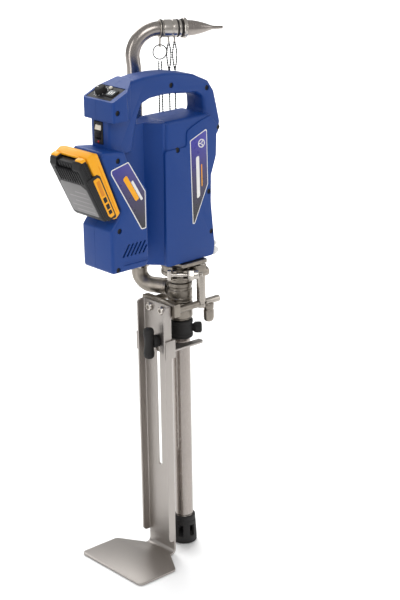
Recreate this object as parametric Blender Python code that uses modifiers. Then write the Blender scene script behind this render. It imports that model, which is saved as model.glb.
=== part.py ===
"""Battery powered loading pump on a folded foot stand, modelled as an assembly.

Millimetre figures are measured from the point where the stand's web meets the floor:
X runs from the battery towards the nozzle, Y across the pump, Z up.
place() turns them into metres about the centre of the foot plate, which is the origin.
"""
import math

import bmesh
import bpy
from mathutils import Matrix, Vector

# ---------------------------------------------------------------- driving dimensions (mm)
FOOT_CENTRE = -55.0      # foot plate centre, measured from the web
GAP = 0.3                # clearance between touching pieces
SHEET = 3.0              # stand sheet thickness
WEB_HALF = 31.5          # half width of the stand channel
FLANGE = 15.0            # depth of the channel flanges
STAND_TOP = 403.0
FOOT_HALF = 71.0
PUMP_X = 43.0            # pump column axis
PUMP_R = 18.6
WALL = 3.0               # housing wall
BODY_BASE = 464.0        # underside of the pump end of the housing
CRANK_Z = 545.0
CRANK_THROW = 12.0
PULLEY_R = 26.0
MOTOR_X = -78.0
MOTOR_Z = 521.0
TUBE_X = 15.6            # riser tube axis
TUBE_Y = 60.0
TUBE_R = 10.6
TUBE_BEND = 38.0
TUBE_TOP = 795.0         # height of the level part of the riser
SPOUT_TURN = 24.0        # degrees from +X towards -Y
SPOUT_DROOP = 2.5
RAKE = 21.9              # battery face, degrees from upright
RAKE_FOOT = (-94.0, 0.0, 569.0)
STUD_Z = 343.0          # clamp knob axis with the hook at rest

COLLECTION = "cordless_loading_pump"
parts = None
cutters = None
materials = {}


def place(x, y, z):
    """Millimetre figures to metres about the foot centre."""
    return Vector((x - FOOT_CENTRE, y, z)) * 0.001


def clear_scene():
    for obj in list(bpy.data.objects):
        bpy.data.objects.remove(obj, do_unlink=True)


def make_collections():
    global parts, cutters
    parts = bpy.data.collections.new(COLLECTION)
    cutters = bpy.data.collections.new("cutters")
    bpy.context.scene.collection.children.link(parts)
    bpy.context.scene.collection.children.link(cutters)


def material(name, colour, roughness, metallic=0.0):
    made = bpy.data.materials.new(name)
    made.use_nodes = True
    shader = made.node_tree.nodes["Principled BSDF"]
    shader.inputs["Base Color"].default_value = (*colour, 1.0)
    shader.inputs["Roughness"].default_value = roughness
    shader.inputs["Metallic"].default_value = metallic
    materials[name] = made


def make_materials():
    material("blue_plastic", (0.045, 0.10, 0.32), 0.45)
    material("black_plastic", (0.02, 0.02, 0.022), 0.5)
    material("grey_plastic", (0.25, 0.25, 0.26), 0.5)
    material("yellow_plastic", (0.95, 0.45, 0.03), 0.4)
    material("white_plastic", (0.85, 0.82, 0.75), 0.4)
    material("satin_steel", (0.55, 0.53, 0.50), 0.4, 0.9)
    material("polished_steel", (0.65, 0.63, 0.60), 0.2, 1.0)
    material("cast_steel", (0.42, 0.39, 0.35), 0.4, 0.9)
    material("black_rubber", (0.015, 0.015, 0.015), 0.7)
    material("aluminium", (0.7, 0.7, 0.72), 0.4, 1.0)
    material("brass", (0.75, 0.55, 0.25), 0.3, 1.0)
    material("copper", (0.8, 0.4, 0.2), 0.35, 1.0)
    material("circuit_green", (0.02, 0.18, 0.06), 0.5)
    material("red_lens", (0.5, 0.02, 0.02), 0.2)


# ---------------------------------------------------------------- shape helpers
def finish(obj, look):
    """Files a finished object under its material, or among the cutters when look is None."""
    for owner in list(obj.users_collection):
        owner.objects.unlink(obj)
    if look is None:
        cutters.objects.link(obj)
        obj.hide_render = True
        obj.display_type = "WIRE"
        return obj
    parts.objects.link(obj)
    obj.data.materials.clear()
    obj.data.materials.append(materials[look])
    return obj


def from_bmesh(name, work, look, origin=Vector()):
    mesh = bpy.data.meshes.new(name)
    bmesh.ops.translate(work, vec=-origin, verts=work.verts)
    work.to_mesh(mesh)
    work.free()
    obj = bpy.data.objects.new(name, mesh)
    obj.location = origin
    mesh.shade_smooth()
    mesh.set_sharp_from_angle(angle=math.radians(35))
    return finish(obj, look)


def bevel(obj, width, segments=2, angle=50.0):
    tool = obj.modifiers.new("edges", "BEVEL")
    tool.width = width * 0.001
    tool.segments = segments
    tool.limit_method = "ANGLE"
    tool.angle_limit = math.radians(angle)
    return obj


def box(name, low, high, look, edge=0.0, frame=None):
    """Box between two corners; frame turns and moves it from its own axes."""
    work = bmesh.new()
    bmesh.ops.create_cube(work, size=1.0)
    for vert in work.verts:
        for axis in range(3):
            span = high[axis] - low[axis]
            vert.co[axis] = low[axis] + (vert.co[axis] + 0.5) * span
    return settle(name, work, look, frame, edge)


def settle(name, work, look, frame, edge=0.0):
    """Converts a millimetre bmesh to metres in the part's frame and bevels it."""
    for vert in work.verts:
        spot = frame @ vert.co if frame else vert.co
        vert.co = place(*spot)
    obj = from_bmesh(name, work, look)
    if edge:
        bevel(obj, edge)
    return obj


def along(start, end):
    """Frame whose +Z runs from start to end, with its origin at start."""
    start, end = Vector(start), Vector(end)
    turn = (end - start).to_track_quat("Z", "Y").to_matrix().to_4x4()
    return Matrix.Translation(start) @ turn


def rod(name, start, end, radius, look, sides=20, edge=0.0, end_radius=None):
    work = bmesh.new()
    length = (Vector(end) - Vector(start)).length
    top = radius if end_radius is None else end_radius
    bmesh.ops.create_cone(work, cap_ends=True, segments=sides, radius1=radius,
                          radius2=top, depth=length)
    bmesh.ops.translate(work, vec=(0, 0, length / 2), verts=work.verts)
    return settle(name, work, look, along(start, end), edge)


def turned(name, profile, start, end, look, sides=18):
    """Turned piece on the line start-end; profile is (radius, height) down the outside.

    A profile that starts and ends on the axis is solid; a closed one is a ring.
    """
    mesh = bpy.data.meshes.new(name)
    work = bmesh.new()
    points = [work.verts.new((r * 0.001, 0, h * 0.001)) for r, h in profile]
    for first, second in zip(points, points[1:]):
        work.edges.new((first, second))
    if profile[0][0] > 0:
        work.edges.new((points[-1], points[0]))
    work.to_mesh(mesh)
    work.free()
    obj = bpy.data.objects.new(name, mesh)
    frame = along(start, end)
    obj.matrix_world = Matrix.Translation(place(*frame.translation)) @ frame.to_3x3().to_4x4()
    spin = obj.modifiers.new("turn", "SCREW")
    spin.steps = sides
    spin.render_steps = sides
    spin.use_merge_vertices = True
    spin.merge_threshold = 0.00005
    spin.use_smooth_shade = True
    return finish(obj, look)


def ring(name, start, end, outer, inner, look, sides=18):
    length = (Vector(end) - Vector(start)).length
    outline = [(outer, length), (outer, 0), (inner, 0), (inner, length)]
    return turned(name, outline, start, end, look, sides)


def rounded(outline, radius, steps=2):
    """Rounds every corner of a closed outline with an arc that touches both sides."""
    result = []
    count = len(outline)
    for index, corner in enumerate(outline):
        here = Vector(corner)
        before = Vector(outline[index - 1]) - here
        after = Vector(outline[(index + 1) % count]) - here
        angle = before.angle(after)
        reach = min(radius / math.tan(angle / 2), before.length * 0.45, after.length * 0.45)
        if angle > math.radians(172):
            result.append(tuple(here))
            continue
        start = here + before.normalized() * reach
        end = here + after.normalized() * reach
        for step in range(steps + 1):
            t = step / steps
            spot = start * (1 - t) ** 2 + here * 2 * t * (1 - t) + end * t ** 2
            result.append(tuple(spot))
    return result


def inset(outline, distance):
    """Moves each side of a closed clockwise or anticlockwise outline inwards."""
    area = 0.0
    count = len(outline)
    for index in range(count):
        x1, y1 = outline[index]
        x2, y2 = outline[(index + 1) % count]
        area += x1 * y2 - x2 * y1
    side = 1.0 if area > 0 else -1.0
    result = []
    for index, corner in enumerate(outline):
        here = Vector(corner)
        into = (here - Vector(outline[index - 1])).normalized()
        out = (Vector(outline[(index + 1) % count]) - here).normalized()
        normal_in = Vector((-into.y, into.x)) * side
        normal_out = Vector((-out.y, out.x)) * side
        mean = (normal_in + normal_out).normalized()
        result.append(tuple(here + mean * distance / max(0.35, mean.dot(normal_in))))
    return result


def outline_solid(name, outline, low, high, look, plane="XZ", frame=None):
    """Flat outline given thickness; low and high are along the axis normal to the plane."""
    curve = bpy.data.curves.new(name, "CURVE")
    curve.dimensions = "2D"
    curve.fill_mode = "BOTH"
    curve.extrude = (high - low) / 2 * 0.001
    spline = curve.splines.new("POLY")
    spline.points.add(len(outline) - 1)
    for point, (u, v) in zip(spline.points, outline):
        point.co = (u * 0.001, v * 0.001, 0, 1)
    spline.use_cyclic_u = True
    guide = bpy.data.objects.new(name + "_outline", curve)
    cutters.objects.link(guide)
    bpy.context.view_layer.update()
    evaluated = guide.evaluated_get(bpy.context.evaluated_depsgraph_get())
    mesh = bpy.data.meshes.new_from_object(evaluated)
    bpy.data.objects.remove(guide, do_unlink=True)
    work = bmesh.new()
    work.from_mesh(mesh)
    bpy.data.meshes.remove(mesh)
    bmesh.ops.remove_doubles(work, verts=work.verts, dist=0.00001)
    middle = (low + high) / 2
    turns = {"XZ": Matrix.Rotation(math.pi / 2, 4, "X"), "XY": Matrix.Identity(4),
             "YZ": Matrix(((0, 0, 1, 0), (1, 0, 0, 0), (0, 1, 0, 0), (0, 0, 0, 1)))}
    shift = {"XZ": (0, -middle, 0), "XY": (0, 0, middle), "YZ": (middle, 0, 0)}[plane]
    if plane == "XZ":
        shift = (0, middle, 0)
    turn = turns[plane]
    for vert in work.verts:
        spot = turn @ (vert.co * 1000.0) + Vector(shift)
        if frame:
            spot = frame @ spot
        vert.co = place(*spot)
    bmesh.ops.recalc_face_normals(work, faces=work.faces)
    return from_bmesh(name, work, look)


def combine(obj, other, operation="DIFFERENCE", solver="EXACT"):
    tool = obj.modifiers.new(other.name, "BOOLEAN")
    tool.operation = operation
    tool.object = other
    tool.solver = "MANIFOLD" if obj.name.startswith("housing") else solver
    return obj


def settle_cuts(obj):
    """Applies an object's cuts and collapses the slivers that they leave."""
    thin = obj.modifiers.new("slivers", "DECIMATE")
    thin.ratio = 0.7
    thin.use_collapse_triangulate = True
    bpy.context.view_layer.update()
    evaluated = obj.evaluated_get(bpy.context.evaluated_depsgraph_get())
    mesh = bpy.data.meshes.new_from_object(evaluated)
    work = bmesh.new()
    work.from_mesh(mesh)
    bpy.data.meshes.remove(mesh)
    bmesh.ops.triangulate(work, faces=work.faces)
    obj.modifiers.clear()
    work.to_mesh(obj.data)
    work.free()
    obj.data.shade_smooth()
    obj.data.set_sharp_from_angle(angle=math.radians(35))
    return obj


def tube(name, points, radius, look, resolution=3):
    curve = bpy.data.curves.new(name, "CURVE")
    curve.dimensions = "3D"
    curve.bevel_depth = radius * 0.001
    curve.bevel_resolution = resolution
    curve.use_fill_caps = True
    spline = curve.splines.new("POLY")
    spline.points.add(len(points) - 1)
    for point, spot in zip(spline.points, points):
        point.co = (*place(*spot), 1)
    obj = bpy.data.objects.new(name, curve)
    return finish(obj, look)


def smooth_path(knots, spacing):
    """Points at an even spacing on a Catmull-Rom curve through the knots."""
    knots = [Vector(knot) for knot in knots]
    ends = [2 * knots[0] - knots[1]] + knots + [2 * knots[-1] - knots[-2]]
    dense = []
    for index in range(len(knots) - 1):
        a, b, c, d = ends[index:index + 4]
        for step in range(24):
            t = step / 24
            dense.append(0.5 * (2 * b + (c - a) * t + (2 * a - 5 * b + 4 * c - d) * t ** 2
                                + (3 * b - a - 3 * c + d) * t ** 3))
    dense.append(knots[-1])
    total = sum((q - p).length for p, q in zip(dense, dense[1:]))
    count = max(2, round(total / spacing))
    result = [dense[0]]
    travelled = 0.0
    for p, q in zip(dense, dense[1:]):
        length = (q - p).length
        while length and len(result) < count and travelled + length >= total * len(result) / count:
            need = total * len(result) / count - travelled
            result.append(p.lerp(q, need / length))
        travelled += length
    result.append(dense[-1])
    return result


# ---------------------------------------------------------------- stand
def make_stand():
    stand = box("stand_channel", (-SHEET, -WEB_HALF, 24), (0, WEB_HALF, STAND_TOP), "satin_steel")
    for side in (-1, 1):
        edge = side * WEB_HALF
        inner = edge - side * SHEET
        low, high = sorted((edge, inner))
        outline = rounded([(-FLANGE, 24), (-FLANGE, STAND_TOP), (-1, STAND_TOP), (-1, 24)], 9)
        flange = outline_solid("flange_blank", outline, low, high, None)
        combine(stand, flange, "UNION")
    bend = []
    for step in range(6):
        angle = math.radians(90 * step / 5)
        bend.append((-9 + 9 * math.cos(angle), 9 - 9 * math.sin(angle)))
    inner_bend = []
    for step in range(6):
        angle = math.radians(90 - 90 * step / 5)
        inner_bend.append((-9 + 6 * math.cos(angle), 9 - 6 * math.sin(angle)))
    profile = [(0, 40)] + bend + [(-20, 0), (-20, SHEET)] + inner_bend + [(-SHEET, 40)]
    knee = outline_solid("knee_blank", profile, -WEB_HALF + 2.5, WEB_HALF - 2.5, None)
    combine(stand, knee, "UNION")
    foot = [(-106, -FOOT_HALF), (-37, -FOOT_HALF), (-12, -WEB_HALF + 2), (-12, WEB_HALF - 2),
            (-37, FOOT_HALF), (-106, FOOT_HALF)]
    plate = outline_solid("foot_blank", rounded(foot, 9), 0, SHEET, None, "XY")
    combine(stand, plate, "UNION")
    slot = outline_solid("slot_cutter", rounded([(-4.4, 142), (4.4, 142), (4.4, 352), (-4.4, 352)], 4.3, 4),
                         -10, 10, None, "YZ")
    combine(stand, slot)
    for index, spot in enumerate(STAND_SCREWS):
        hole = rod("stand_hole_%d" % index, (-20, *spot), (10, *spot), 3.2, None, 16)
        combine(stand, hole)


STAND_SCREWS = ((15, 393), (-12, 393))


def make_stand_bracket():
    """Cross block behind the web that carries the two support bars."""
    bracket = box("stand_bracket", (GAP, -37, 386), (12, 37, 406), "cast_steel", 1.5)
    for index, spot in enumerate(STAND_SCREWS):
        bore = rod("bracket_bore_%d" % index, (-5, *spot), (20, *spot), 3.2, None, 16)
        combine(bracket, bore)
        name = "stand_screw_%s" % ("rear", "front")[index]
        head = [(0, 14), (2.8, 14), (2.8, 0), (6.5, 0), (6.5, -3.0), (5.0, -4.4), (0, -4.4)]
        turned(name, head, (-SHEET - GAP, *spot), (20, *spot), "polished_steel", 16)
    for side in (-1, 1):
        bar = rod("support_bar", (8, side * 31, 395), (50.0, side * 31, 395), 5.2, None, 16)
        combine(bracket, bar, "UNION")
    hanger = rod("hanger_bar", (64.0, -31, 395), (92, -31, 395), 5.2, "satin_steel", 16, 0.8)
    lock = [(0, 30), (7.9, 28), (7.9, 5), (5, 0.5), (0, 0)]
    barrel = turned("hanger_barrel", lock, (72, -31, 363), (72, -31, 391), None, 16)
    combine(hanger, barrel, "UNION")


def make_tie_rods():
    for side, name in ((-1, "tie_rod_front"), (1, "tie_rod_rear")):
        spot = (57, side * 31.5)
        rod(name, (*spot, 389), (*spot, 458), 6.7, "satin_steel", 16, 0.6)


def make_pail_hook():
    """Saddle that rides on the channel and hooks over a pail's rim."""
    inner = WEB_HALF + GAP
    outer = inner + SHEET
    outline = [(-15, inner), (-15, outer), (GAP + SHEET, outer), (GAP + SHEET, -outer), (-15, -outer),
               (-15, -inner), (GAP, -inner), (GAP, inner)]
    hook = outline_solid("pail_hook", outline, 324, 352, "satin_steel", "XY")
    plate = [(2, -32), (58, -32), (62, -28), (62, -19.5), (PUMP_X, -19.5)]
    for step in range(1, 8):
        angle = math.radians(-90 - 180 * step / 8)
        plate.append((PUMP_X + 19.5 * math.cos(angle), 19.5 * math.sin(angle)))
    plate += [(PUMP_X, 19.5), (62, 19.5), (62, 28), (58, 32), (2, 32)]
    combine(hook, outline_solid("hook_plate", plate, 332, 332 + SHEET, None, "XY"), "UNION")
    combine(hook, rod("hook_bore", (-8, 0, STUD_Z), (20, 0, STUD_Z), 3.8, None, 16))
    nut = rod("clamp_nut", (SHEET + 2 * GAP, 0, STUD_Z), (SHEET + 7, 0, STUD_Z), 7.5, "polished_steel", 6)
    combine(nut, rod("nut_bore", (0, 0, STUD_Z), (20, 0, STUD_Z), 3.7, None, 12))
    hub = rod("clamp_knob", (-14, 0, STUD_Z), (-SHEET - GAP, 0, STUD_Z), 9.5, "black_plastic", 20, 1.0)
    grip = [(0, 48), (5, 48), (8, 45.5), (8, 2.5), (5, 0), (0, 0)]
    bar = turned("knob_grip", grip, (-19.5, 0, STUD_Z - 24), (-19.5, 0, STUD_Z + 24), None, 16)
    combine(hub, bar, "UNION")
    combine(hub, rod("knob_stud", (-12, 0, STUD_Z), (17, 0, STUD_Z), 3.4, None, 12), "UNION")


# ---------------------------------------------------------------- housing
HANDLE = [(-98, 640), (-98, 704), (-72, 729), (-59, 739), (-31, 743), (2, 743.5), (26, 741.5),
          (61, 734.5), (88, 722), (99, 706), (104, 686), (110, 660), (108, 645), (98, 633), (88, 612),
          (66, 612), (70, 660), (78, 682), (77, 700), (64, 708), (46, 709), (20, 712.5), (1, 713),
          (-21, 711.5), (-37, 706), (-44, 690), (-50, 670), (-56, 640)]
BLOCK = [(-113, 478), (-113, 541), (-101, 555), (-93, 567), (-126, 649), (-122, 655), (-84, 650),
         (-79, 636), (-46, 590), (-46, 484), (-52, 478)]
PUMP_END = [(-9, BODY_BASE), (-4, 677), (78, 677), (92, 661), (91, 636), (90, 614), (80, 587),
            (79, 546), (85, 482), (83, BODY_BASE)]
VALLEY = [(-64, 482), (-66, 646), (-50, 676), (2, 676), (2, 467), (-12, 467), (-44, 482)]
RAISED = [(-9.5, BODY_BASE + 1), (-7.5, 636), (33, 636), (34, 658), (45, 664), (60, 670), (79, 675),
          (91, 660), (90, 636), (89, 614), (79, 587), (78, 546), (84, 482), (82, BODY_BASE + 1)]
HOUSING_SCREWS = ((-97, 639), (-98, 539), (74, 563), (78, 502))
DEPTHS = {"right": {"handle": 20, "block": 38, "pump": 31, "valley": 8, "head": 38},
          "left": {"handle": 20, "block": 28, "pump": 31, "valley": 22, "head": 29}}


def slab(name, outline, side, depth, radius, edge, look=None, past=12.0):
    """Outline from its outer face to a little past the parting plane, with rounded rims."""
    low, high = (-depth, past) if side < 0 else (-past, depth)
    shape = outline_solid(name, rounded(outline, radius), low, high, look)
    if edge:
        bevel(shape, edge, 1, 60)
    return shape


def head_block(name, side, depth, skin, past):
    """Control head: a plan outline, cut off along the panel's slope; skin insets it."""
    plan = [(-103 + skin, -past), (-103 + skin, depth - skin), (-78 - skin / 2, depth - skin),
            (-51 - skin, 15.5 - skin), (-51 - skin, -past)]
    plan = [(x, y * side) for x, y in plan]
    block = outline_solid(name, rounded(plan, 4), 692 + skin, 752 - skin, None, "XY")
    lid = box(name + "_lid", (-80, -80, -1.8 * skin), (90, 80, 70), None, 0, PANEL)
    return combine(block, lid, "DIFFERENCE", "MANIFOLD")


def make_housing(half):
    side = -1 if half == "right" else 1
    depth = DEPTHS[half]
    name = "housing_%s" % half
    shell = slab(name, HANDLE, side, depth["handle"], 7, 6, "blue_plastic")
    combine(shell, slab(half + "_block", BLOCK, side, depth["block"], 7, 4, None, 13.1), "UNION")
    combine(shell, slab(half + "_pump_end", PUMP_END, side, depth["pump"], 7, 4, None, 14.3), "UNION")
    combine(shell, slab(half + "_valley", VALLEY, side, depth["valley"], 3, 0, None, 15.2), "UNION")
    head = head_block(half + "_head", side, depth["head"], 0, 16.4)
    combine(shell, head, "UNION")
    if half == "right":
        combine(shell, slab("raised_panel", RAISED, side, depth["pump"] + 2, 6, 1, None, 17.3), "UNION")
    cavities = (("handle", HANDLE), ("block", BLOCK), ("pump", PUMP_END))
    for number, (label, outline) in enumerate(cavities):
        inner = rounded(inset(outline, WALL), 4)
        end = 19.5 + 1.3 * number
        low, high = (-depth[label] + WALL, end) if side < 0 else (-end, depth[label] - WALL)
        combine(shell, outline_solid("%s_%s_cavity" % (half, label), inner, low, high, None))
    combine(shell, head_block(half + "_head_cavity", side, depth["head"], WALL, 28.0))
    passage = [(-70, 488), (-70, 640), (-48, 670), (6, 670), (6, 474), (-8, 474), (-40, 488)]
    low, high = (-depth["valley"] + WALL, 26) if side < 0 else (-26, depth["valley"] - WALL)
    combine(shell, outline_solid(half + "_passage", passage, low, high, None))
    for index, spot in enumerate(HOUSING_SCREWS):
        make_boss(shell, half, side, index, spot)
    far = 60
    low, high = (-GAP / 2, far) if side < 0 else (-far, GAP / 2)
    combine(shell, box(half + "_parting", (-220, low, 400), (220, high, 800), None))
    return shell


def screw_depth(half, spot):
    """Depth of the outer face at a screw."""
    x, z = spot
    depth = DEPTHS[half]
    if x < -90:
        return depth["head"] if z > 690 else depth["block"]
    if z > 680:
        return depth["handle"]
    return depth["pump"] + (2 if half == "right" and (z < 636 or x > 34) else 0)


def make_boss(shell, half, side, index, spot):
    x, z = spot
    outer = side * (screw_depth(half, spot) - 1.5)
    boss = rod("%s_boss_%d" % (half, index), (x, outer, z), (x, 0, z), 5.0, None, 12)
    combine(shell, boss, "UNION")
    if half == "right":
        face = -screw_depth(half, spot)
        bore = rod("screw_bore_%d" % index, (x, face - 5, z), (x, -6, z), 3.2, None, 12)
        combine(shell, bore)
        combine(shell, rod("screw_shank_bore_%d" % index, (x, -8, z), (x, 5, z), 1.8, None, 8))
    else:
        combine(shell, rod("screw_pilot_%d" % index, (x, -5, z), (x, 12, z), 1.8, None, 8))


def make_housing_screws():
    for index, (x, z) in enumerate(HOUSING_SCREWS):
        profile = [(0, 17), (1.45, 17), (1.45, 0), (2.8, 0), (2.8, -2.2), (2.2, -3), (0, -3)]
        turned("housing_screw_%d" % (index + 1), profile, (x, -6 - GAP, z), (x, 20, z),
               "black_plastic", 8)


def cut_housing(right, left):
    """Openings for the pump column, switch, controls, vents and battery contacts."""
    pump_hole = rod("column_hole", (PUMP_X, 0, 455), (PUMP_X, 0, 475), 15, None, 24)
    combine(right, pump_hole)
    combine(left, pump_hole)
    switch = box("switch_cutter", (-105, -8.5, 657), (-90, 10.5, 689), None)
    combine(right, switch)
    combine(left, switch)
    panel = box("panel_cutter", (-15.5, -29, -2.6), (15.5, 25, 6), None, 0, PANEL)
    combine(right, panel)
    combine(left, panel)
    for index in range(8):
        x = -91 + index * 6.4
        outline = [(x, 499.5), (x + 2.8, 499.5), (x + 7.8, 516.5), (x + 5.0, 516.5)]
        vent = outline_solid("vent_cutter_%d" % index, outline, -45, 45, None)
        combine(right, vent)
    contact = box("contact_cutter", (25, -11, -6), (75, 11, 6), None, 0, RAKE_FRAME)
    combine(right, contact)
    combine(left, contact)


# ---------------------------------------------------------------- controls
PANEL = (Matrix.Translation((-86.2, 0, 727.6)) @ Matrix.Rotation(math.radians(-24), 4, "Y"))


def make_controls():
    panel = box("control_panel", (-15.1, -28.6, -2.3), (15.1, 24.6, -0.5), "black_plastic", 0.4, PANEL)
    combine(panel, box("display_rim", (-7, -24, -1.5), (8, -6, 1.0), None, 0, PANEL), "UNION")
    well = rod("button_well", PANEL @ Vector((10.5, -2, -4)), PANEL @ Vector((10.5, -2, 4)), 2.9, None, 16)
    combine(panel, well)
    dial_spot = Vector((1.0, 9.0, -0.2))
    start = PANEL @ dial_spot
    end = PANEL @ (dial_spot + Vector((0, 0, 10)))
    dial = [(0, 7), (6.5, 7), (8, 6), (8.5, 0), (0, 0)]
    turned("pressure_dial", dial, start, end, "black_plastic", 20)
    start = PANEL @ Vector((10.5, -2, -0.2))
    end = PANEL @ Vector((10.5, -2, 3))
    rod("mode_button", start, end, 2.6, "white_plastic", 14, 0.4)
    box("switch_frame", (-98.6, -8.2, 657.3), (-92, 10.2, 688.7), "black_plastic", 0.6)
    frame = bpy.data.objects["switch_frame"]
    combine(frame, box("switch_well", (-104, -5.5, 664), (-91, 7.5, 685), None))
    outline = [(-101.5, 674.5), (-99.0, 683.8), (-94.5, 683.8), (-94.5, 665.2), (-98.2, 665.2)]
    outline_solid("rocker_switch", outline, -5.2, 7.2, "white_plastic")
    box("control_board", (-94, -14, 694), (-60, 14, 695.6), "circuit_green")


# ---------------------------------------------------------------- battery
RAKE_FRAME = Matrix.Translation(RAKE_FOOT) @ Matrix.Rotation(math.radians(-RAKE), 4, "Y") \
    @ Matrix(((0, 0, -1, 0), (0, 1, 0, 0), (1, 0, 0, 0), (0, 0, 0, 1)))


def make_battery():
    """Battery axes: X up the raked face, Y across, Z outwards from the face."""
    plate = outline_solid("battery_rail", rounded([(2, -30), (84, -30), (84, 26), (2, 26)], 4),
                          GAP, 2.3, "black_plastic", "XY", RAKE_FRAME)
    rib = box("rail_rib", (4, -12, 1), (82, 10, 6.5), None, 0, RAKE_FRAME)
    combine(plate, rib, "UNION")
    combine(plate, box("contact_block", (30, -7, -5), (70, 5, 2), None, 0, RAKE_FRAME), "UNION")
    side = [(-3, 2.8), (-7, 12), (-4, 18.5), (97, 21.5), (99, 12), (94, 2.8)]
    cover = outline_solid("battery_cover", rounded(side, 3), -38, 34, "yellow_plastic", "XZ",
                          RAKE_FRAME)
    bevel(cover, 2.0, 2, 60)
    combine(cover, box("rail_groove", (-20, -13.5, 0), (90, 11.5, 8), None, 0, RAKE_FRAME))
    low_side = [(-4, 18.8), (-2, 29), (4, 32), (88, 38.5), (97, 34), (97.5, 21.8)]
    base = outline_solid("battery_base", rounded(low_side, 4), -37, 33, "grey_plastic", "XZ", RAKE_FRAME)
    bevel(base, 4.0, 2, 60)
    combine(base, box("latch_well", (84, -20, 22), (110, 16, 44), None, 0, RAKE_FRAME))
    latch = box("battery_latch", (84.6, -19.5, 24), (94, 15.5, 35), "black_plastic", 1.2, RAKE_FRAME)
    return latch


# ---------------------------------------------------------------- drive
def make_drive():
    motor = (MOTOR_X, MOTOR_Z)
    case = [(0, 38), (19, 38), (21, 36), (21, 0), (0, 0)]
    can = turned("motor_can", case, (MOTOR_X, -32, MOTOR_Z), (MOTOR_X, 6, MOTOR_Z), "satin_steel", 18)
    combine(can, rod("shaft_bore", (MOTOR_X, -40, MOTOR_Z), (MOTOR_X, 20, MOTOR_Z), 3.4, None, 16))
    spindle = [(0, 50), (3, 50), (3, 49.2), (9, 49.2), (9, 41.5), (3, 41.5), (3, 0), (0, 0)]
    turned("motor_shaft", spindle, (MOTOR_X, -33.6, MOTOR_Z), (MOTOR_X, 16, MOTOR_Z), "polished_steel", 20)
    crank = [(0, 15), (5, 15), (5, 8), (PULLEY_R, 8), (PULLEY_R, 0), (0, 0)]
    crank = turned("crankshaft", crank, (PUMP_X, 8, CRANK_Z), (PUMP_X, 30, CRANK_Z), "polished_steel", 28)
    pin_z = CRANK_Z + CRANK_THROW
    pin = rod("crank_pin", (PUMP_X, 3.5, pin_z), (PUMP_X, 12, pin_z), 4.0, None, 14)
    combine(crank, pin, "UNION")
    make_belt(motor)
    plate = rounded([(6, 471), (6, 590), (64, 590), (64, 471)], 6)
    carrier = outline_solid("bearing_carrier", plate, 17.2, 23.4, "aluminium")
    combine(carrier, rod("bearing_boss", (PUMP_X, 17.0, CRANK_Z), (PUMP_X, 25.5, CRANK_Z), 11, None, 20), "UNION")
    combine(carrier, rod("carrier_bore", (PUMP_X, 10, CRANK_Z), (PUMP_X, 30, CRANK_Z), 5.3, None, 20))
    make_rod_and_crosshead()


def make_belt(motor):
    """Toothed belt round both pulleys: outer and inner outlines on the same tangents."""
    outlines = []
    span = Vector((PUMP_X - motor[0], CRANK_Z - motor[1]))
    heading = math.atan2(span.y, span.x)
    for extra in (2.3, 0.4):
        small, large = 9.0 + extra, PULLEY_R + extra
        lean = math.acos((large - small) / span.length)
        points = []
        for step in range(19):
            angle = heading - (math.pi - lean) + (2 * math.pi - 2 * lean) * step / 18
            points.append((PUMP_X + large * math.cos(angle), CRANK_Z + large * math.sin(angle)))
        for step in range(9):
            angle = heading + (math.pi - lean) + 2 * lean * step / 8
            points.append((motor[0] + small * math.cos(angle), motor[1] + small * math.sin(angle)))
        outlines.append(points)
    belt = outline_solid("drive_belt", outlines[0], 8.6, 15.2, "black_rubber")
    combine(belt, outline_solid("belt_core", outlines[1], 0, 30, None))


def make_rod_and_crosshead():
    top = CRANK_Z + CRANK_THROW
    wrist = 508
    bar = [(PUMP_X - 5, wrist), (PUMP_X - 5, top), (PUMP_X + 5, top), (PUMP_X + 5, wrist)]
    link = outline_solid("connecting_rod", bar, -4.6, 3.0, "cast_steel")
    for name, height, size in (("rod_big_end", top, 9.5), ("rod_small_end", wrist, 8)):
        combine(link, rod(name, (PUMP_X, -4.6, height), (PUMP_X, 3.0, height), size, None, 20), "UNION")
    combine(link, rod("big_end_bore", (PUMP_X, -9, top), (PUMP_X, 9, top), 4.6, None, 14))
    combine(link, rod("small_end_bore", (PUMP_X, -9, wrist), (PUMP_X, 9, wrist), 4.3, None, 14))
    rod("wrist_pin", (PUMP_X, -10.5, wrist), (PUMP_X, 10.5, wrist), 4.0, "polished_steel", 14)
    yoke = box("piston_rod", (PUMP_X - 8, -10.2, 484), (PUMP_X + 8, 10.2, 514), "cast_steel", 1.0)
    combine(yoke, box("yoke_slot", (PUMP_X - 20, -5.4, 497), (PUMP_X + 20, 5.4, 530), None))
    combine(yoke, rod("yoke_bore", (PUMP_X, -20, wrist), (PUMP_X, 20, wrist), 4.3, None, 14))
    stem = [(0, 70), (7, 70), (7, 8), (9.4, 8), (9.4, 0), (0, 0)]
    stem = turned("piston_stem", stem, (PUMP_X, 0, 418.5), (PUMP_X, 0, 430), None, 20)
    combine(yoke, stem, "UNION")


# ---------------------------------------------------------------- pump column
CLAMP_ANGLE = 230.0


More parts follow.
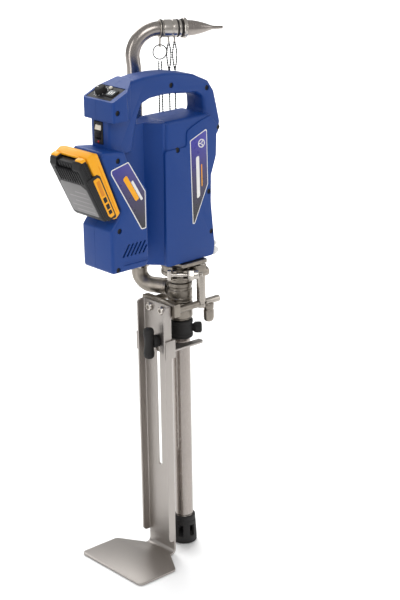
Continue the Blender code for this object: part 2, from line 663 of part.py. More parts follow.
def make_column():
    """Mount plate, head, cylinder and the intake below them, on the column axis."""
    mount = box("pump_mount_plate", (18, -38, 458.3), (66, 38, BODY_BASE - GAP), "satin_steel", 0.8)
    combine(mount, rod("mount_bore", (PUMP_X, 0, 450), (PUMP_X, 0, 470), 14.5, None, 24))
    axis = (PUMP_X, 0)
    head = [(12, 22), (22, 22), (22, 19), (20, 17), (20, 4), (22, 2), (22, 0), (18.3, 0), (18.3, -9),
            (7.4, -9), (7.4, 5), (12, 5)]
    turned("pump_head", head, (*axis, 436), (*axis, 458), "cast_steel", 20)
    ring("rod_packing", (*axis, 441.3), (*axis, 455), 11.7, 7.3, "black_rubber")
    barrel = [(9.8, 30), (PUMP_R, 30), (PUMP_R, 0), (9.8, 0)]
    turned("pump_cylinder", barrel, (*axis, 396), (*axis, 426), "cast_steel", 20)
    collar = [(9.8, 28), (PUMP_R, 28), (PUMP_R, 0), (4.0, 0), (4.0, 8), (9.8, 8)]
    turned("inlet_valve_body", collar, (*axis, 367), (*axis, 395), "cast_steel", 20)
    ball = bmesh.new()
    bmesh.ops.create_uvsphere(ball, u_segments=16, v_segments=10, radius=5.6)
    bmesh.ops.translate(ball, vec=(PUMP_X, 0, 379.3), verts=ball.verts)
    settle("inlet_ball", ball, "polished_steel", None)
    coupling = [(9.8, 28), (18, 28), (PUMP_R, 26), (PUMP_R, 2), (17.4, 0), (14.4, 0), (14.4, 14),
                (9.8, 16)]
    turned("intake_coupling", coupling, (*axis, 338.6), (*axis, 366.6), "black_plastic", 20)
    make_coupling_knob()
    pipe = [(11, 315), (14, 315), (14, 0), (11, 0)]
    turned("intake_tube", pipe, (*axis, 37), (*axis, 352), "satin_steel", 18)
    strainer = [(14.3, 45), (17, 45), (19, 8), (19, 0), (6, 0), (6, 4), (14.3, 8)]
    cage = turned("intake_strainer", strainer, (*axis, 0), (*axis, 45), "black_plastic", 24)
    for index in range(6):
        angle = math.radians(60 * index + 30)
        turn = Matrix.Translation((PUMP_X, 0, 0)) @ Matrix.Rotation(angle, 4, "Z")
        combine(cage, box("strainer_slot_%d" % index, (8, -4, 12), (30, 4, 30), None, 0, turn))


def make_coupling_knob():
    heading = Vector((math.cos(math.radians(-40)), math.sin(math.radians(-40)), 0))
    start = Vector((PUMP_X, 0, 352)) + heading * (PUMP_R + GAP)
    profile = [(0, 13), (7, 13), (8.5, 11.5), (8.5, 2), (6, 0), (0, 0)]
    knob = turned("coupling_knob", profile, start, start + heading, "black_plastic", 20)
    return knob


def make_clamp():
    """Two-piece clamp round the pump head with a swing bolt and a hex nut at the front."""
    axis = Vector((PUMP_X, 0, 0))
    angle = math.radians(CLAMP_ANGLE)
    out = Vector((math.cos(angle), math.sin(angle), 0))
    across = Vector((-math.sin(angle), math.cos(angle), 0))
    frame = Matrix.Translation(axis + Vector((0, 0, 447))) @ Matrix(
        ((out.x, across.x, 0, 0), (out.y, across.y, 0, 0), (0, 0, 1, 0), (0, 0, 0, 1)))
    profile = [(22.4, 9), (26, 9), (27.5, 7), (27.5, -7), (26, -9), (22.4, -9)]
    for name, low, high in (("clamp_half_left", -60, -GAP / 2), ("clamp_half_right", GAP / 2, 60)):
        band = turned(name, profile, (PUMP_X, 0, 447), (PUMP_X, 0, 460), "cast_steel", 24)
        lug_low, lug_high = (-11, -4.6) if low < -1 else (4.6, 11)
        lug = box(name + "_lug", (24, lug_low, -8), (44, lug_high, 8), None, 1.0, frame)
        combine(band, lug, "UNION")
        across_low, across_high = (-GAP / 2, 60) if low < -1 else (-60, GAP / 2)
        other = box(name + "_cut", (-70, across_low, -30), (70, across_high, 30), None, 0, frame)
        combine(band, other)
        slot = box(name + "_slot", (34.0, -30, -4.2), (60, 30, 4.2), None, 0, frame)
        combine(band, slot)
    turn = frame
    bolt_out = 38.2
    start = turn @ Vector((bolt_out, -12.5, 0))
    end = turn @ Vector((bolt_out, 33, 0))
    bolt = rod("clamp_bolt", start, end, 3.6, "polished_steel", 14)
    start = turn @ Vector((bolt_out, 11.4, 0))
    end = turn @ Vector((bolt_out, 27.5, 0))
    nut = rod("clamp_wing_nut", start, end, 9.0, "polished_steel", 6, 0.8, 6.8)
    combine(nut, rod("wing_nut_bore", turn @ Vector((bolt_out, 5, 0)), turn @ Vector((bolt_out, 40, 0)),
                     3.9, None, 14))
    eye = rod("clamp_pivot", turn @ Vector((bolt_out, -15, -7.5)), turn @ Vector((bolt_out, -15, 7.5)),
              3.8, None, 14)
    combine(bolt, eye, "UNION")


# ---------------------------------------------------------------- outlet
def make_outlet():
    """Side outlet from the pump cylinder to the foot of the riser tube."""
    base = Vector((TUBE_X, TUBE_Y, 0))
    side = (base - Vector((PUMP_X, 0, 0))).normalized()
    level = 414.5
    start = Vector((PUMP_X, 0, level)) + side * (PUMP_R + 1.2)
    turn = base + Vector((0, 0, level))
    points = [start]
    radius = 20.0
    entry = turn - side * radius
    centre = entry + Vector((0, 0, radius))
    for step in range(9):
        angle = math.radians(90 * step / 8)
        points.append(centre + side * radius * math.sin(angle) - Vector((0, 0, radius * math.cos(angle))))
    points.append(base + Vector((0, 0, 441)))
    tube("outlet_elbow", [tuple(point) for point in points], 12.0, "cast_steel", 3)
    nut = rod("riser_nut", (TUBE_X, TUBE_Y, 441.4), (TUBE_X, TUBE_Y, 460), 15.5, "polished_steel", 6, 0.8)
    combine(nut, rod("riser_nut_bore", (TUBE_X, TUBE_Y, 430), (TUBE_X, TUBE_Y, 470), TUBE_R + GAP, None, 24))


def spout_frame():
    """+X along the spout, from the riser's axis."""
    turn = Matrix.Rotation(math.radians(-SPOUT_TURN), 4, "Z")
    droop = Matrix.Rotation(math.radians(SPOUT_DROOP), 4, "Y")
    return Matrix.Translation((TUBE_X, TUBE_Y, TUBE_TOP)) @ turn @ droop


def make_spout():
    frame = spout_frame()
    points = [(TUBE_X, TUBE_Y, 442)]
    points += [(TUBE_X, TUBE_Y, z) for z in (560, 680)]
    for step in range(11):
        angle = math.radians(90 * step / 10)
        local = Vector((TUBE_BEND - TUBE_BEND * math.cos(angle), 0,
                        TUBE_BEND * math.sin(angle) - TUBE_BEND))
        points.append(tuple(frame @ local))
    points.append(tuple(frame @ Vector((78, 0, 0))))
    tube("riser_tube", points, TUBE_R, "polished_steel", 4)

    def sleeve(name, low, high, outer, inner, look, sides=18):
        return ring(name, frame @ Vector((low, 0, 0)), frame @ Vector((high, 0, 0)), outer, inner, look,
                    sides)
    bore = TUBE_R + GAP
    grip = sleeve("grip_ring", 38.2, 43.0, 13.2, bore, "black_rubber")
    combine(grip, make_tab(), "UNION")
    body = [(12.0, 29), (12.0, 28.8), (12.0, 26.8), (12.6, 26.8), (12.6, 23), (12.0, 23), (12.0, 20.5),
            (13.0, 20.5), (13.0, 0), (bore, 0), (bore, 29)]
    coupler = turned("coupler_sleeve", body, frame @ Vector((43.6, 0, 0)), frame @ Vector((64, 0, 0)),
                     "polished_steel", 20)
    for at in HOOKS_AT:
        top = spout_point(at)
        hook = rod("chain_hook", top - Vector((0, 0, 12.5)), top - Vector((0, 0, 20)), 1.5, None, 10)
        combine(coupler, hook, "UNION")
    sleeve("coupler_seal_rear", 64.5, 66.4, 13.5, 12.3, "black_rubber")
    sleeve("coupler_seal_front", 70.8, 72.3, 13.5, 12.3, "black_rubber")
    collar = [(12.6, 6.2), (15.2, 4.8), (15.2, 1.2), (13.0, 0), (bore, 0), (bore, 6.2)]
    turned("nozzle_collar", collar, frame @ Vector((73.2, 0, 0)), frame @ Vector((80, 0, 0)),
           "polished_steel", 20)
    make_nozzle(frame)
    make_chain_parts()


def make_nozzle(frame):
    steps = 7
    outside = [(2.2, 55.0), (2.5, 37)]
    for step in range(steps):
        t = step / (steps - 1)
        outside.append((3.2 + 8.4 * math.sin(t * math.pi / 2), 35 - 35 * t))
    inside = [(9.6, 0), (8.6, 10), (2.0, 33), (1.2, 55.0)]
    turned("nozzle", outside + inside, frame @ Vector((79.8, 0, 0)), frame @ Vector((90, 0, 0)),
           "polished_steel", 18)


# ---------------------------------------------------------------- ring, hooks and chains
RING_AT = 39.3
RING_EYE = 23.4
HOOKS_AT = (52.7, 61.5)
CHAIN_R = 1.2
RING_R = 10.3


def spout_point(distance, drop=0.0):
    spot = spout_frame() @ Vector((distance, 0, 0))
    return spot - Vector((0, 0, drop))


def make_tab():
    """Plate under the grip ring with the split ring's hole, square to the spout."""
    hang = spout_point(RING_AT)
    heading = Matrix.Rotation(math.radians(90 - SPOUT_TURN), 4, "Z")
    tab_frame = Matrix.Translation(hang) @ heading
    outline = [(-5, -12), (5, -12), (3.5, -20), (3.5, -27), (-3.5, -27), (-3.5, -20)]
    tag = outline_solid("ring_tab", rounded(outline, 1.5), -0.8, 0.8, None, "XZ", tab_frame)
    hole = rod("tab_hole", tab_frame @ Vector((0, -5, -RING_EYE)), tab_frame @ Vector((0, 5, -RING_EYE)), 2.0,
               None, 12)
    combine(tag, hole)
    return tag


def make_chain_parts():
    centre = spout_point(RING_AT) - Vector((0, 0, RING_EYE + RING_R))
    make_hoop("split_ring", centre, RING_R, 1.0)
    make_chain("ring_chain", ring_chain_knots())
    make_chain("hook_chain", hook_chain_knots())


def make_hoop(name, centre, radius, wire):
    """Upright hoop whose plane holds the spout's heading."""
    section = []
    for step in range(6):
        angle = -2 * math.pi * step / 6
        section.append((radius + wire * math.cos(angle), wire * math.sin(angle)))
    spot = Vector(centre)
    facing = Vector((math.sin(math.radians(SPOUT_TURN)), math.cos(math.radians(SPOUT_TURN)), 0))
    turned(name, section, spot, spot + facing, "polished_steel", 20)


def ring_chain_knots():
    """Long loop hanging from the split ring behind the pump end of the housing."""
    hang = spout_point(RING_AT)
    top = hang.z - RING_EYE - 2 * RING_R - 2.8
    x, y = hang.x, hang.y
    return [(x - 2.4, y, top), (x - 3.0, y, top - 30), (x - 3.2, y, top - 70), (x - 4.2, y, top - 110),
            (x - 6.2, y, top - 134), (x - 5.0, y, top - 144), (x, y, top - 149), (x + 5.0, y, top - 144),
            (x + 6.2, y, top - 134), (x + 4.2, y, top - 110), (x + 3.2, y, top - 70),
            (x + 3.0, y, top - 30), (x + 2.4, y, top)]


def hook_chain_knots():
    """Loop from one hook, down behind the housing, and up to the other hook."""
    first = spout_point(HOOKS_AT[0])
    last = spout_point(HOOKS_AT[1])
    top = first.z - 21.6
    step = (last - first) * 0.5
    middle = (first + last) * 0.5
    knots = [(first.x, first.y, top), (first.x, first.y, top - 45), (first.x, first.y, top - 90),
             (first.x, first.y, top - 125)]
    low = [(-0.98, 150), (-0.7, 155), (0, 157.5), (0.7, 155), (0.98, 150)]
    for share, drop in low:
        knots.append((middle.x + step.x * share, middle.y + step.y * share, top - drop))
    knots += [(last.x, last.y, top - 125), (last.x, last.y, top - 90), (last.x, last.y, top - 45),
              (last.x, last.y, top)]
    return knots


def make_chain(name, knots):
    tube(name, [tuple(point) for point in smooth_path(knots, 7.0)], CHAIN_R, "polished_steel", 2)


def main():
    clear_scene()
    make_collections()
    make_materials()
    make_stand()
    make_stand_bracket()
    make_tie_rods()
    make_pail_hook()
    right = make_housing("right")
    left = make_housing("left")
    cut_housing(right, left)
    settle_cuts(right)
    settle_cuts(left)
    make_housing_screws()
    make_controls()
    make_battery()
    make_drive()
    make_column()
    make_clamp()
    make_outlet()
    make_spout()


main()
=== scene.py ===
"""Looks for the battery powered loading pump: materials, fine shapes, camera and light.

Lengths in the shape calls are millimetres measured from the point where the stand's web meets
the floor; at() turns them into the row frame, whose origin is the middle of the foot plate.
"""

from math import cos, pi, radians, sin, tan

import bmesh
import bpy
from mathutils import Matrix, Vector


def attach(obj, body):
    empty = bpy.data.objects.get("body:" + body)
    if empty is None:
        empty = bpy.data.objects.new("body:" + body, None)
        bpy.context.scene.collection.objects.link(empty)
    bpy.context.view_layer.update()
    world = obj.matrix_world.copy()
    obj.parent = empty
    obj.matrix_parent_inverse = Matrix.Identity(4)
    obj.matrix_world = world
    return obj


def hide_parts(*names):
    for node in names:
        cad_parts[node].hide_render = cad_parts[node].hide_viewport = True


FOOT_CENTRE = -55
GAP = 0.3
PUMP_X = 43
WALL = 3
TUBE_X, TUBE_Y, TUBE_R, TUBE_BEND, TUBE_TOP = 15.6, 60, 10.6, 38, 795
SPOUT_TURN, SPOUT_DROOP = 24, 2.5
RAKE = 21.9
RAKE_FOOT = (-94, 0, 569)
KNOB_Z = 343
CLAMP_Z = 447
RING_AT, RING_EYE, RING_R = 39.3, 23.4, 10.3
HOOKS_AT = (52.7, 61.5)

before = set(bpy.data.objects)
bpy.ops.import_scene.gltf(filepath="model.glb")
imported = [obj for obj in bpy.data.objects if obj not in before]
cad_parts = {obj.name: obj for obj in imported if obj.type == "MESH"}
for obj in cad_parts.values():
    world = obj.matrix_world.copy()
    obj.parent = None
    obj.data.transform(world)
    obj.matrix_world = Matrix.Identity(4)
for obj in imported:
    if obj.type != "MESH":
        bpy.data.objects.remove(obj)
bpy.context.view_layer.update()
materials = {}


def at(x, y, z):
    return Vector((x - FOOT_CENTRE, y, z)) * 0.001


def spun(degrees, axis):
    return Matrix.Rotation(radians(degrees), 4, axis)


# ---------------------------------------------------------------- materials
class Look:
    """A node material: a base colour field, a roughness field and a bump, all procedural."""

    def __init__(self, name, roughness, metallic=0):
        self.made = bpy.data.materials.new(name)
        self.made.use_nodes = True
        self.tree = self.made.node_tree
        self.shader = self.tree.nodes["Principled BSDF"]
        self.shader.inputs["Roughness"].default_value = roughness
        self.shader.inputs["Metallic"].default_value = metallic
        self.coords = self.tree.nodes.new("ShaderNodeTexCoord").outputs["Object"]
        materials[name] = self

    def node(self, kind, **values):
        """A new node; values go to its inputs, with _ for a space, or else to attributes."""
        made = self.tree.nodes.new(kind)
        for key, value in values.items():
            socket = key.replace("_", " ")
            if socket in made.inputs:
                made.inputs[socket].default_value = value
            else:
                setattr(made, key, value)
        return made

    def link(self, a, b):
        self.tree.links.new(a, b)

    def stretched(self, scale):
        mapping = self.node("ShaderNodeMapping", Scale=scale)
        self.link(self.coords, mapping.inputs["Vector"])
        return mapping.outputs["Vector"]

    def noise(self, scale, detail=4, roughness=0.55, stretch=None):
        made = self.node("ShaderNodeTexNoise", Scale=scale, Detail=detail, Roughness=roughness)
        self.link(self.stretched(stretch) if stretch else self.coords, made.inputs["Vector"])
        return made.outputs["Fac"]

    def colour(self, source, stops):
        made = self.node("ShaderNodeValToRGB")
        ramp = made.color_ramp
        while len(ramp.elements) < len(stops):
            ramp.elements.new(0.5)
        for element, (place, colour) in zip(ramp.elements, stops):
            element.position = place
            element.color = (*colour, 1)
        self.link(source, made.inputs["Fac"])
        self.link(made.outputs["Color"], self.shader.inputs["Base Color"])

    def rough(self, source, low, high):
        made = self.node("ShaderNodeMapRange", To_Min=low, To_Max=high)
        self.link(source, made.inputs["Value"])
        self.link(made.outputs["Result"], self.shader.inputs["Roughness"])

    def scaled(self, source, factor, added=None):
        """source * factor, plus the value of another socket when one is given."""
        made = self.node("ShaderNodeMath", operation="MULTIPLY_ADD" if added else "MULTIPLY")
        made.inputs[1].default_value = factor
        self.link(source, made.inputs[0])
        if added:
            self.link(added, made.inputs[2])
        return made.outputs[0]

    def bump(self, source, strength, distance):
        """Adds a bump on top of the bumps that are there."""
        made = self.node("ShaderNodeBump", Strength=strength, Distance=distance)
        self.link(source, made.inputs["Height"])
        if self.shader.inputs["Normal"].is_linked:
            before = self.shader.inputs["Normal"].links[0].from_socket
            self.link(before, made.inputs["Normal"])
        self.link(made.outputs["Normal"], self.shader.inputs["Normal"])


def shade(colour, factor):
    return tuple(min(1, c * factor) for c in colour)


def plastic(name, colour, roughness, grain=2600, strength=0.25, spread=0.06, scuffs=0.1):
    look = Look(name, roughness)
    mottle = look.noise(9, 5)
    look.colour(mottle, [(0.25, shade(colour, 1 - spread)), (0.5, colour),
        (0.8, shade(colour, 1 + spread))])
    look.rough(look.noise(60, 6, 0.65), max(0.05, roughness - scuffs), roughness + scuffs)
    look.bump(look.noise(grain, 2, 0.6), strength, 0.00012)
    look.bump(look.noise(40, 3), 0.05, 0.0004)
    look.shader.inputs["Specular IOR Level"].default_value = 0.32


def brushed(name, colour, roughness, stretch, spread=0.16, strength=0.25, scale=320):
    look = Look(name, roughness, 1)
    streaks = look.noise(scale, 5, 0.7, stretch)
    mix = look.scaled(streaks, 0.55, look.scaled(look.noise(11, 4), 0.45))
    look.colour(mix, [(0.3, shade(colour, 1 - spread)), (0.5, colour),
        (0.72, shade(colour, 1 + spread))])
    look.rough(streaks, max(0.08, roughness - 0.1), roughness + 0.12)
    look.bump(streaks, strength, 0.00006)


def cast(name, colour, roughness):
    look = Look(name, roughness, 1)
    cloud = look.noise(28, 7, 0.65)
    look.colour(cloud, [(0.28, shade(colour, 0.62)), (0.5, colour), (0.74, shade(colour, 1.3))])
    look.rough(look.noise(90, 5, 0.6), roughness - 0.12, roughness + 0.14)
    look.bump(look.noise(900, 4, 0.6), 0.35, 0.00018)
    look.bump(look.noise(70, 4), 0.25, 0.0005)


def make_looks():
    """Every material, by the name that the pieces ask for; metals are brushed or cast."""
    plastic("moulded_blue", (0.0055, 0.046, 0.228), 0.42, 2400, 0.30, 0.05, 0.07)
    plastic("switch_black", (0.010, 0.010, 0.012), 0.50, 2600, 0.25, 0.12)
    plastic("soft_black", (0.016, 0.015, 0.015), 0.62, 1600, 0.4, 0.15)
    plastic("battery_yellow", (0.93, 0.41, 0.012), 0.40, 2400, 0.25, 0.04)
    plastic("battery_grey", (0.19, 0.185, 0.185), 0.46, 2000, 0.25, 0.06)
    plastic("battery_pale", (0.26, 0.25, 0.25), 0.46, 2000, 0.25, 0.06)
    plastic("battery_black", (0.013, 0.013, 0.014), 0.50, 1800, 0.35, 0.12)
    plastic("battery_amber", (0.72, 0.25, 0.012), 0.40, 1800, 0.25, 0.06)
    # Cream of the mode key; on the rocker the same cream is a painted highlight on its upper part
    plastic("switch_cream_and_painted_highlight", (0.78, 0.73, 0.62), 0.40, 2400, 0.15, 0.03)
    brushed("stand_nickel", (0.42, 0.39, 0.365), 0.40, (6, 6, 1), 0.07, 0.18, 700)
    brushed("tube_steel", (0.36, 0.325, 0.30), 0.24, (1, 1, 0.25), 0.12, 0.2, 420)
    brushed("turned_steel", (0.42, 0.385, 0.345), 0.26, (0.4, 0.4, 5), 0.14, 0.25, 420)
    cast("cast_steel", (0.275, 0.246, 0.212), 0.36)
    plastic("chain_nickel", (0.020, 0.018, 0.016), 0.40, 900, 0.2, 0.25)
    brushed("bright_steel", (0.52, 0.485, 0.445), 0.22, (2, 2, 2), 0.10, 0.15, 500)
    brushed("machined_alloy", (0.70, 0.70, 0.72), 0.34, (3, 0.4, 3), 0.08, 0.2, 500)
    plastic("board_green", (0.015, 0.14, 0.05), 0.42, 700, 0.5, 0.25)
    make_label_look("label_violet", ((0.055, 0.05, 0.34),
        (0.055, 0.045, 0.12), (0.016, 0.015, 0.018)))
    plastic("label_white", (0.80, 0.79, 0.77), 0.32, 2000, 0.1, 0.03)
    plastic("lamp_red", (0.5, 0.02, 0.02), 0.2, 800, 0.1, 0.1)
    plastic("display_glass", (0.03, 0.045, 0.05), 0.12, 500, 0.05, 0.3)


def make_label_look(name, colours):
    """Printed film: a gradient down its height with a fine dot screen."""
    look = Look(name, 0.30)
    axes = look.node("ShaderNodeSeparateXYZ")
    look.link(look.coords, axes.inputs["Vector"])
    height = look.node("ShaderNodeMapRange", From_Min=0.53, From_Max=0.66)
    look.link(axes.outputs["Z"], height.inputs["Value"])
    dots = look.scaled(look.noise(260, 3), 0.10, height.outputs["Result"])
    look.colour(dots, [(0.1, colours[2]), (0.5, colours[1]), (0.9, colours[0])])
    look.rough(look.noise(80), 0.22, 0.36)


# ---------------------------------------------------------------- shapes
def smoothed(mesh, angle=32):
    """Smooth shading, with sharp edges where faces meet at more than the angle."""
    mesh.shade_smooth()
    mesh.set_sharp_from_angle(angle=radians(angle))


def placed(name, data):
    """A new object with this data, linked to the scene."""
    obj = bpy.data.objects.new(name, data)
    bpy.context.scene.collection.objects.link(obj)
    return obj


def loose(work, name="cutter"):
    """An object from a metre bmesh, to cut with or to be dressed later."""
    mesh = bpy.data.meshes.new(name)
    work.to_mesh(mesh)
    work.free()
    return placed(name, mesh)


def collect(name, work, finish, angle=32):
    """Turns a metre bmesh into a piece."""
    obj = loose(work, name)
    smoothed(obj.data, angle)
    return dress(obj, finish)


def dress(obj, finish):
    """Gives a piece its finish: look, body and, where it has one, the node it replaces; the
    finish's slot is not used.
    """
    look, body, slot, node = (*finish, None, None)[:4]
    obj.data.materials.clear()
    obj.data.materials.append(materials[look].made)
    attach(obj, body)
    if node:
        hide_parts(node)
    return obj


def along(start, end):
    start, end = Vector(start), Vector(end)
    turn = (end - start).to_track_quat("Z", "Y").to_matrix().to_4x4()
    return Matrix.Translation(start) @ turn


def lathe_mesh(profile, start, end, sides=56, closed=False, wobble=None):
    """Turned surface on the line start-end; profile is (radius, height) from end to end."""
    work = bmesh.new()
    space = along(start, end)
    rings = []
    for radius, height in profile:
        spots = [Vector((0, 0, height))]
        if radius > 0:
            spots = []
            for index in range(sides):
                angle = 2 * pi * index / sides
                reach = radius + (wobble(index, height) if wobble else 0)
                spots.append(Vector((reach * cos(angle), reach * sin(angle), height)))
        rings.append([work.verts.new(at(*(space @ spot))) for spot in spots])
    for low, high in zip(rings, rings[1:] + (rings[:1] if closed else [])):
        join_rings(work, low, high)
    bmesh.ops.recalc_face_normals(work, faces=work.faces)
    return work


def join_rings(work, low, high):
    """Faces between two rings; a ring of one point is a tip."""
    count = max(len(low), len(high))
    if count == 1:
        return
    for index in range(count):
        after = (index + 1) % count
        if len(low) == 1:
            work.faces.new((low[0], high[index], high[after]))
        elif len(high) == 1:
            work.faces.new((low[index], high[0], low[after]))
        else:
            work.faces.new((low[index], high[index], high[after], low[after]))


def corners(points):
    """Every point as a vector, between its neighbours on the closed outline."""
    spots = [Vector(point) for point in points]
    return list(zip(spots[-1:] + spots[:-1], spots, spots[1:] + spots[:1]))


def bend(before, here, after, reach, steps):
    """A rounded corner: a quadratic curve that starts and ends at reach from here."""
    first = here + (before - here).normalized() * reach
    last = here + (after - here).normalized() * reach
    points = []
    for step in range(steps + 1):
        t = step / steps
        points.append(tuple(first * (1 - t) ** 2 + here * 2 * t * (1 - t) + last * t ** 2))
    return points


def eased(profile, radius, closed=False, steps=3):
    """Rounds a profile's corners, apart from points on the axis and an open profile's ends."""
    result = []
    for index, (before, here, after) in enumerate(corners(profile)):
        sides = ((before - here).length, (after - here).length)
        is_end = not closed and index in (0, len(profile) - 1)
        if is_end or min(sides) < 1e-6 or here.x <= 0:
            result.append(tuple(here))
        else:
            result += bend(before, here, after, min(radius, *(side * 0.45 for side in sides)),
                steps)
    return result


def lathe(name, profile, start, end, finish, sides=56, ease=0.6, closed=False, wobble=None):
    shape = eased(profile, ease, closed) if ease else profile
    return collect(name, lathe_mesh(shape, start, end, sides, closed, wobble), finish)


def knurl(depth, low, high, every, wide):
    """A wobble for lathe: between two heights, wide out of every so many sides lie deeper."""
    return lambda index, height: -depth if low < height < high and index % every < wide else 0


def rounded(outline, radius, steps=5):
    """Rounds the corners of a closed outline, apart from nearly straight ones."""
    result = []
    for before, here, after in corners(outline):
        a, b = before - here, after - here
        angle = a.angle(b)
        if angle > radians(174):
            result.append(tuple(here))
        else:
            reach = min(radius / tan(angle / 2), a.length * 0.46, b.length * 0.46)
            result += bend(before, here, after, reach, steps)
    return result


def rect(left, low, right, high):
    return [(left, low), (right, low), (right, high), (left, high)]


def hexagon(radius):
    return [(radius * cos(radians(60 * k)), radius * sin(radians(60 * k))) for k in range(6)]


def inset(outline, distance):
    """The outline moved inwards by a distance."""
    trios = corners(outline)
    area = sum(here.x * after.y - after.x * here.y for before, here, after in trios)
    side = 1 if area > 0 else -1
    result = []
    for before, here, after in trios:
        into, out = (here - before).normalized(), (after - here).normalized()
        normal_in, normal_out = Vector((-into.y, into.x)) * side, Vector((-out.y, out.x)) * side
        mean = (normal_in + normal_out).normalized()
        result.append(tuple(here + mean * distance / max(0.35, mean.dot(normal_in))))
    return result


TURNS = {"XZ": Matrix.Rotation(pi / 2, 4, "X"), "XY": Matrix.Identity(4),
    "YZ": Matrix(((0, 0, 1, 0), (1, 0, 0, 0), (0, 1, 0, 0), (0, 0, 0, 1)))}


def plate_mesh(outline, low, high, plane="XZ", space=None, edge=0, edge_low=None, segments=3):
    """Closed bmesh in metres: an outline with thickness whose two rims are rounded by edge."""
    if edge_low is None:
        edge_low = edge
    turns = [pi / 2 * step / segments for step in range(segments + 1)]
    levels = [(0, low)]
    if edge_low:
        levels = [(edge_low * (1 - sin(turn)), low + edge_low * (1 - cos(turn))) for turn in turns]
    if edge:
        levels += [(edge * (1 - cos(turn)), high - edge * (1 - sin(turn))) for turn in turns]
    else:
        levels.append((0, high))
    work = bmesh.new()
    loops = []
    for shrink, level in levels:
        loop = []
        for u, v in inset(outline, shrink) if shrink > 1e-6 else outline:
            spot = TURNS[plane] @ Vector((u, v, -level if plane == "XZ" else level))
            loop.append(work.verts.new(at(*(space @ spot if space else spot))))
        loops.append(loop)
    return closed_off(work, loops)


def closed_off(work, loops):
    """Joins the loops one after another and caps both ends."""
    for first, second in zip(loops, loops[1:]):
        join_rings(work, first, second)
    work.faces.new(loops[0])
    work.faces.new(list(reversed(loops[-1])))
    bmesh.ops.recalc_face_normals(work, faces=work.faces)
    return work


def plate(name, outline, low, high, finish, plane="XZ", space=None, edge=0.5, edge_low=None):
    return collect(name, plate_mesh(outline, low, high, plane, space, edge, edge_low), finish)


def box_mesh(low, high, edge=0, space=None):
    outline = rect(low[0], low[1], high[0], high[1])
    if edge:
        outline = rounded(outline, edge, 3)
    return plate_mesh(outline, low[2], high[2], "XY", space, min(edge, (high[2] - low[2]) * 0.45))


def block(name, low, high, finish, edge=0.6, space=None):
    return collect(name, box_mesh(low, high, edge, space), finish)


def slab(*shape, name="cutter"):
    return loose(plate_mesh(*shape), name)


def box(*shape, name="cutter"):
    return loose(box_mesh(*shape), name)


def rod(start, end, radius, sides=24):
    """A plain round bar from start to end, to cut with or to be joined."""
    length = (Vector(end) - Vector(start)).length
    return loose(lathe_mesh(rect(0, 0, radius, length), start, end, sides))


def cut(obj, tools, operation="DIFFERENCE", solver="MANIFOLD"):
    """Applies Booleans one after another and removes the tools."""
    for tool in tools:
        step = obj.modifiers.new("cut", "BOOLEAN")
        step.operation, step.object, step.solver = operation, tool, solver
    bpy.context.view_layer.update()
    evaluated = obj.evaluated_get(bpy.context.evaluated_depsgraph_get())
    mesh = bpy.data.meshes.new_from_object(evaluated)
    obj.modifiers.clear()
    obj.data = mesh
    for tool in tools:
        bpy.data.objects.remove(tool)
    smoothed(mesh)
    return obj


def swept(name, points, radius, finish, resolution):
    """A round tube along points."""
    curve = bpy.data.curves.new(name, "CURVE")
    curve.dimensions = "3D"
    curve.bevel_depth = radius * 0.001
    curve.bevel_resolution = resolution
    curve.use_fill_caps = True
    spline = curve.splines.new("POLY")
    spline.points.add(len(points) - 1)
    for point, spot in zip(spline.points, points):
        point.co = (*at(*spot), 1)
    spline.use_smooth = True
    return dress(placed(name, curve), finish)


# ---------------------------------------------------------------- outlines of the housing
HANDLE = [(-98, 640), (-98, 704), (-72, 729), (-59, 739), (-31, 743), (2, 743.5), (26, 741.5),
    (61, 734.5), (88, 722), (99, 706), (104, 686), (110, 660), (108, 645), (98, 633), (88, 612),
    (66, 612), (70, 660), (78, 682), (77, 700), (64, 708), (46, 709), (20, 712.5), (1, 713),
    (-21, 711.5), (-37, 706), (-44, 690), (-50, 670), (-56, 640)]
BLOCK = [(-113, 478), (-113, 541), (-101, 555), (-93, 567), (-126, 649), (-122, 655), (-84, 650),
    (-79, 636), (-46, 590), (-46, 484), (-52, 478)]
PUMP_END = [(-9, 464), (-4, 677), (78, 677), (92, 661), (91, 636), (90, 614), (80, 587),
    (79, 546), (85, 482), (83, 464)]
VALLEY = [(-64, 482), (-66, 646), (-50, 676), (2, 676), (2, 467), (-12, 467), (-44, 482)]
RAISED = [(-9.5, 465), (-7.5, 636), (33, 636), (34, 658), (45, 664), (60, 670), (79, 675),
    (91, 660), (90, 636), (89, 614), (79, 587), (78, 546), (84, 482), (82, 465)]
POCKET = 2.3
EMBLEM_X, EMBLEM_Z = 60, 637
HOUSING_SCREWS = ((-97, 639), (-98, 539), (74, 563), (78, 502))
MORE_SCREWS = ((-95, 705), (-102, 483), (17, 725), (84, 712), (106, 651), (16, 634))
DEPTHS = {"right": {"handle": 20, "block": 38, "pump": 31, "valley": 8, "head": 38},
    "left": {"handle": 20, "block": 28, "pump": 31, "valley": 22, "head": 29}}
PANEL = Matrix.Translation((-86.2, 0, 727.6)) @ spun(-24, "Y")
PACK_AXES = Matrix(((0, 0, -1, 0), (0, 1, 0, 0), (1, 0, 0, 0), (0, 0, 0, 1)))
RAKE_FRAME = Matrix.Translation(RAKE_FOOT) @ spun(-RAKE, "Y") @ PACK_AXES


def y_range(side, out, past):
    """Range on Y that goes out to one side of the middle plane and past it by a little."""
    return (-out, past) if side < 0 else (-past, out)


def half_slab(outline, side, depth, radius, edge, past, name="cutter"):
    """Outline from a rounded outer face to a little past the parting plane."""
    edges = (0, edge) if side < 0 else (edge, 0)
    shape = rounded(outline, radius, 5)
    return slab(shape, *y_range(side, depth, past), "XZ", None, *edges, 4, name=name)


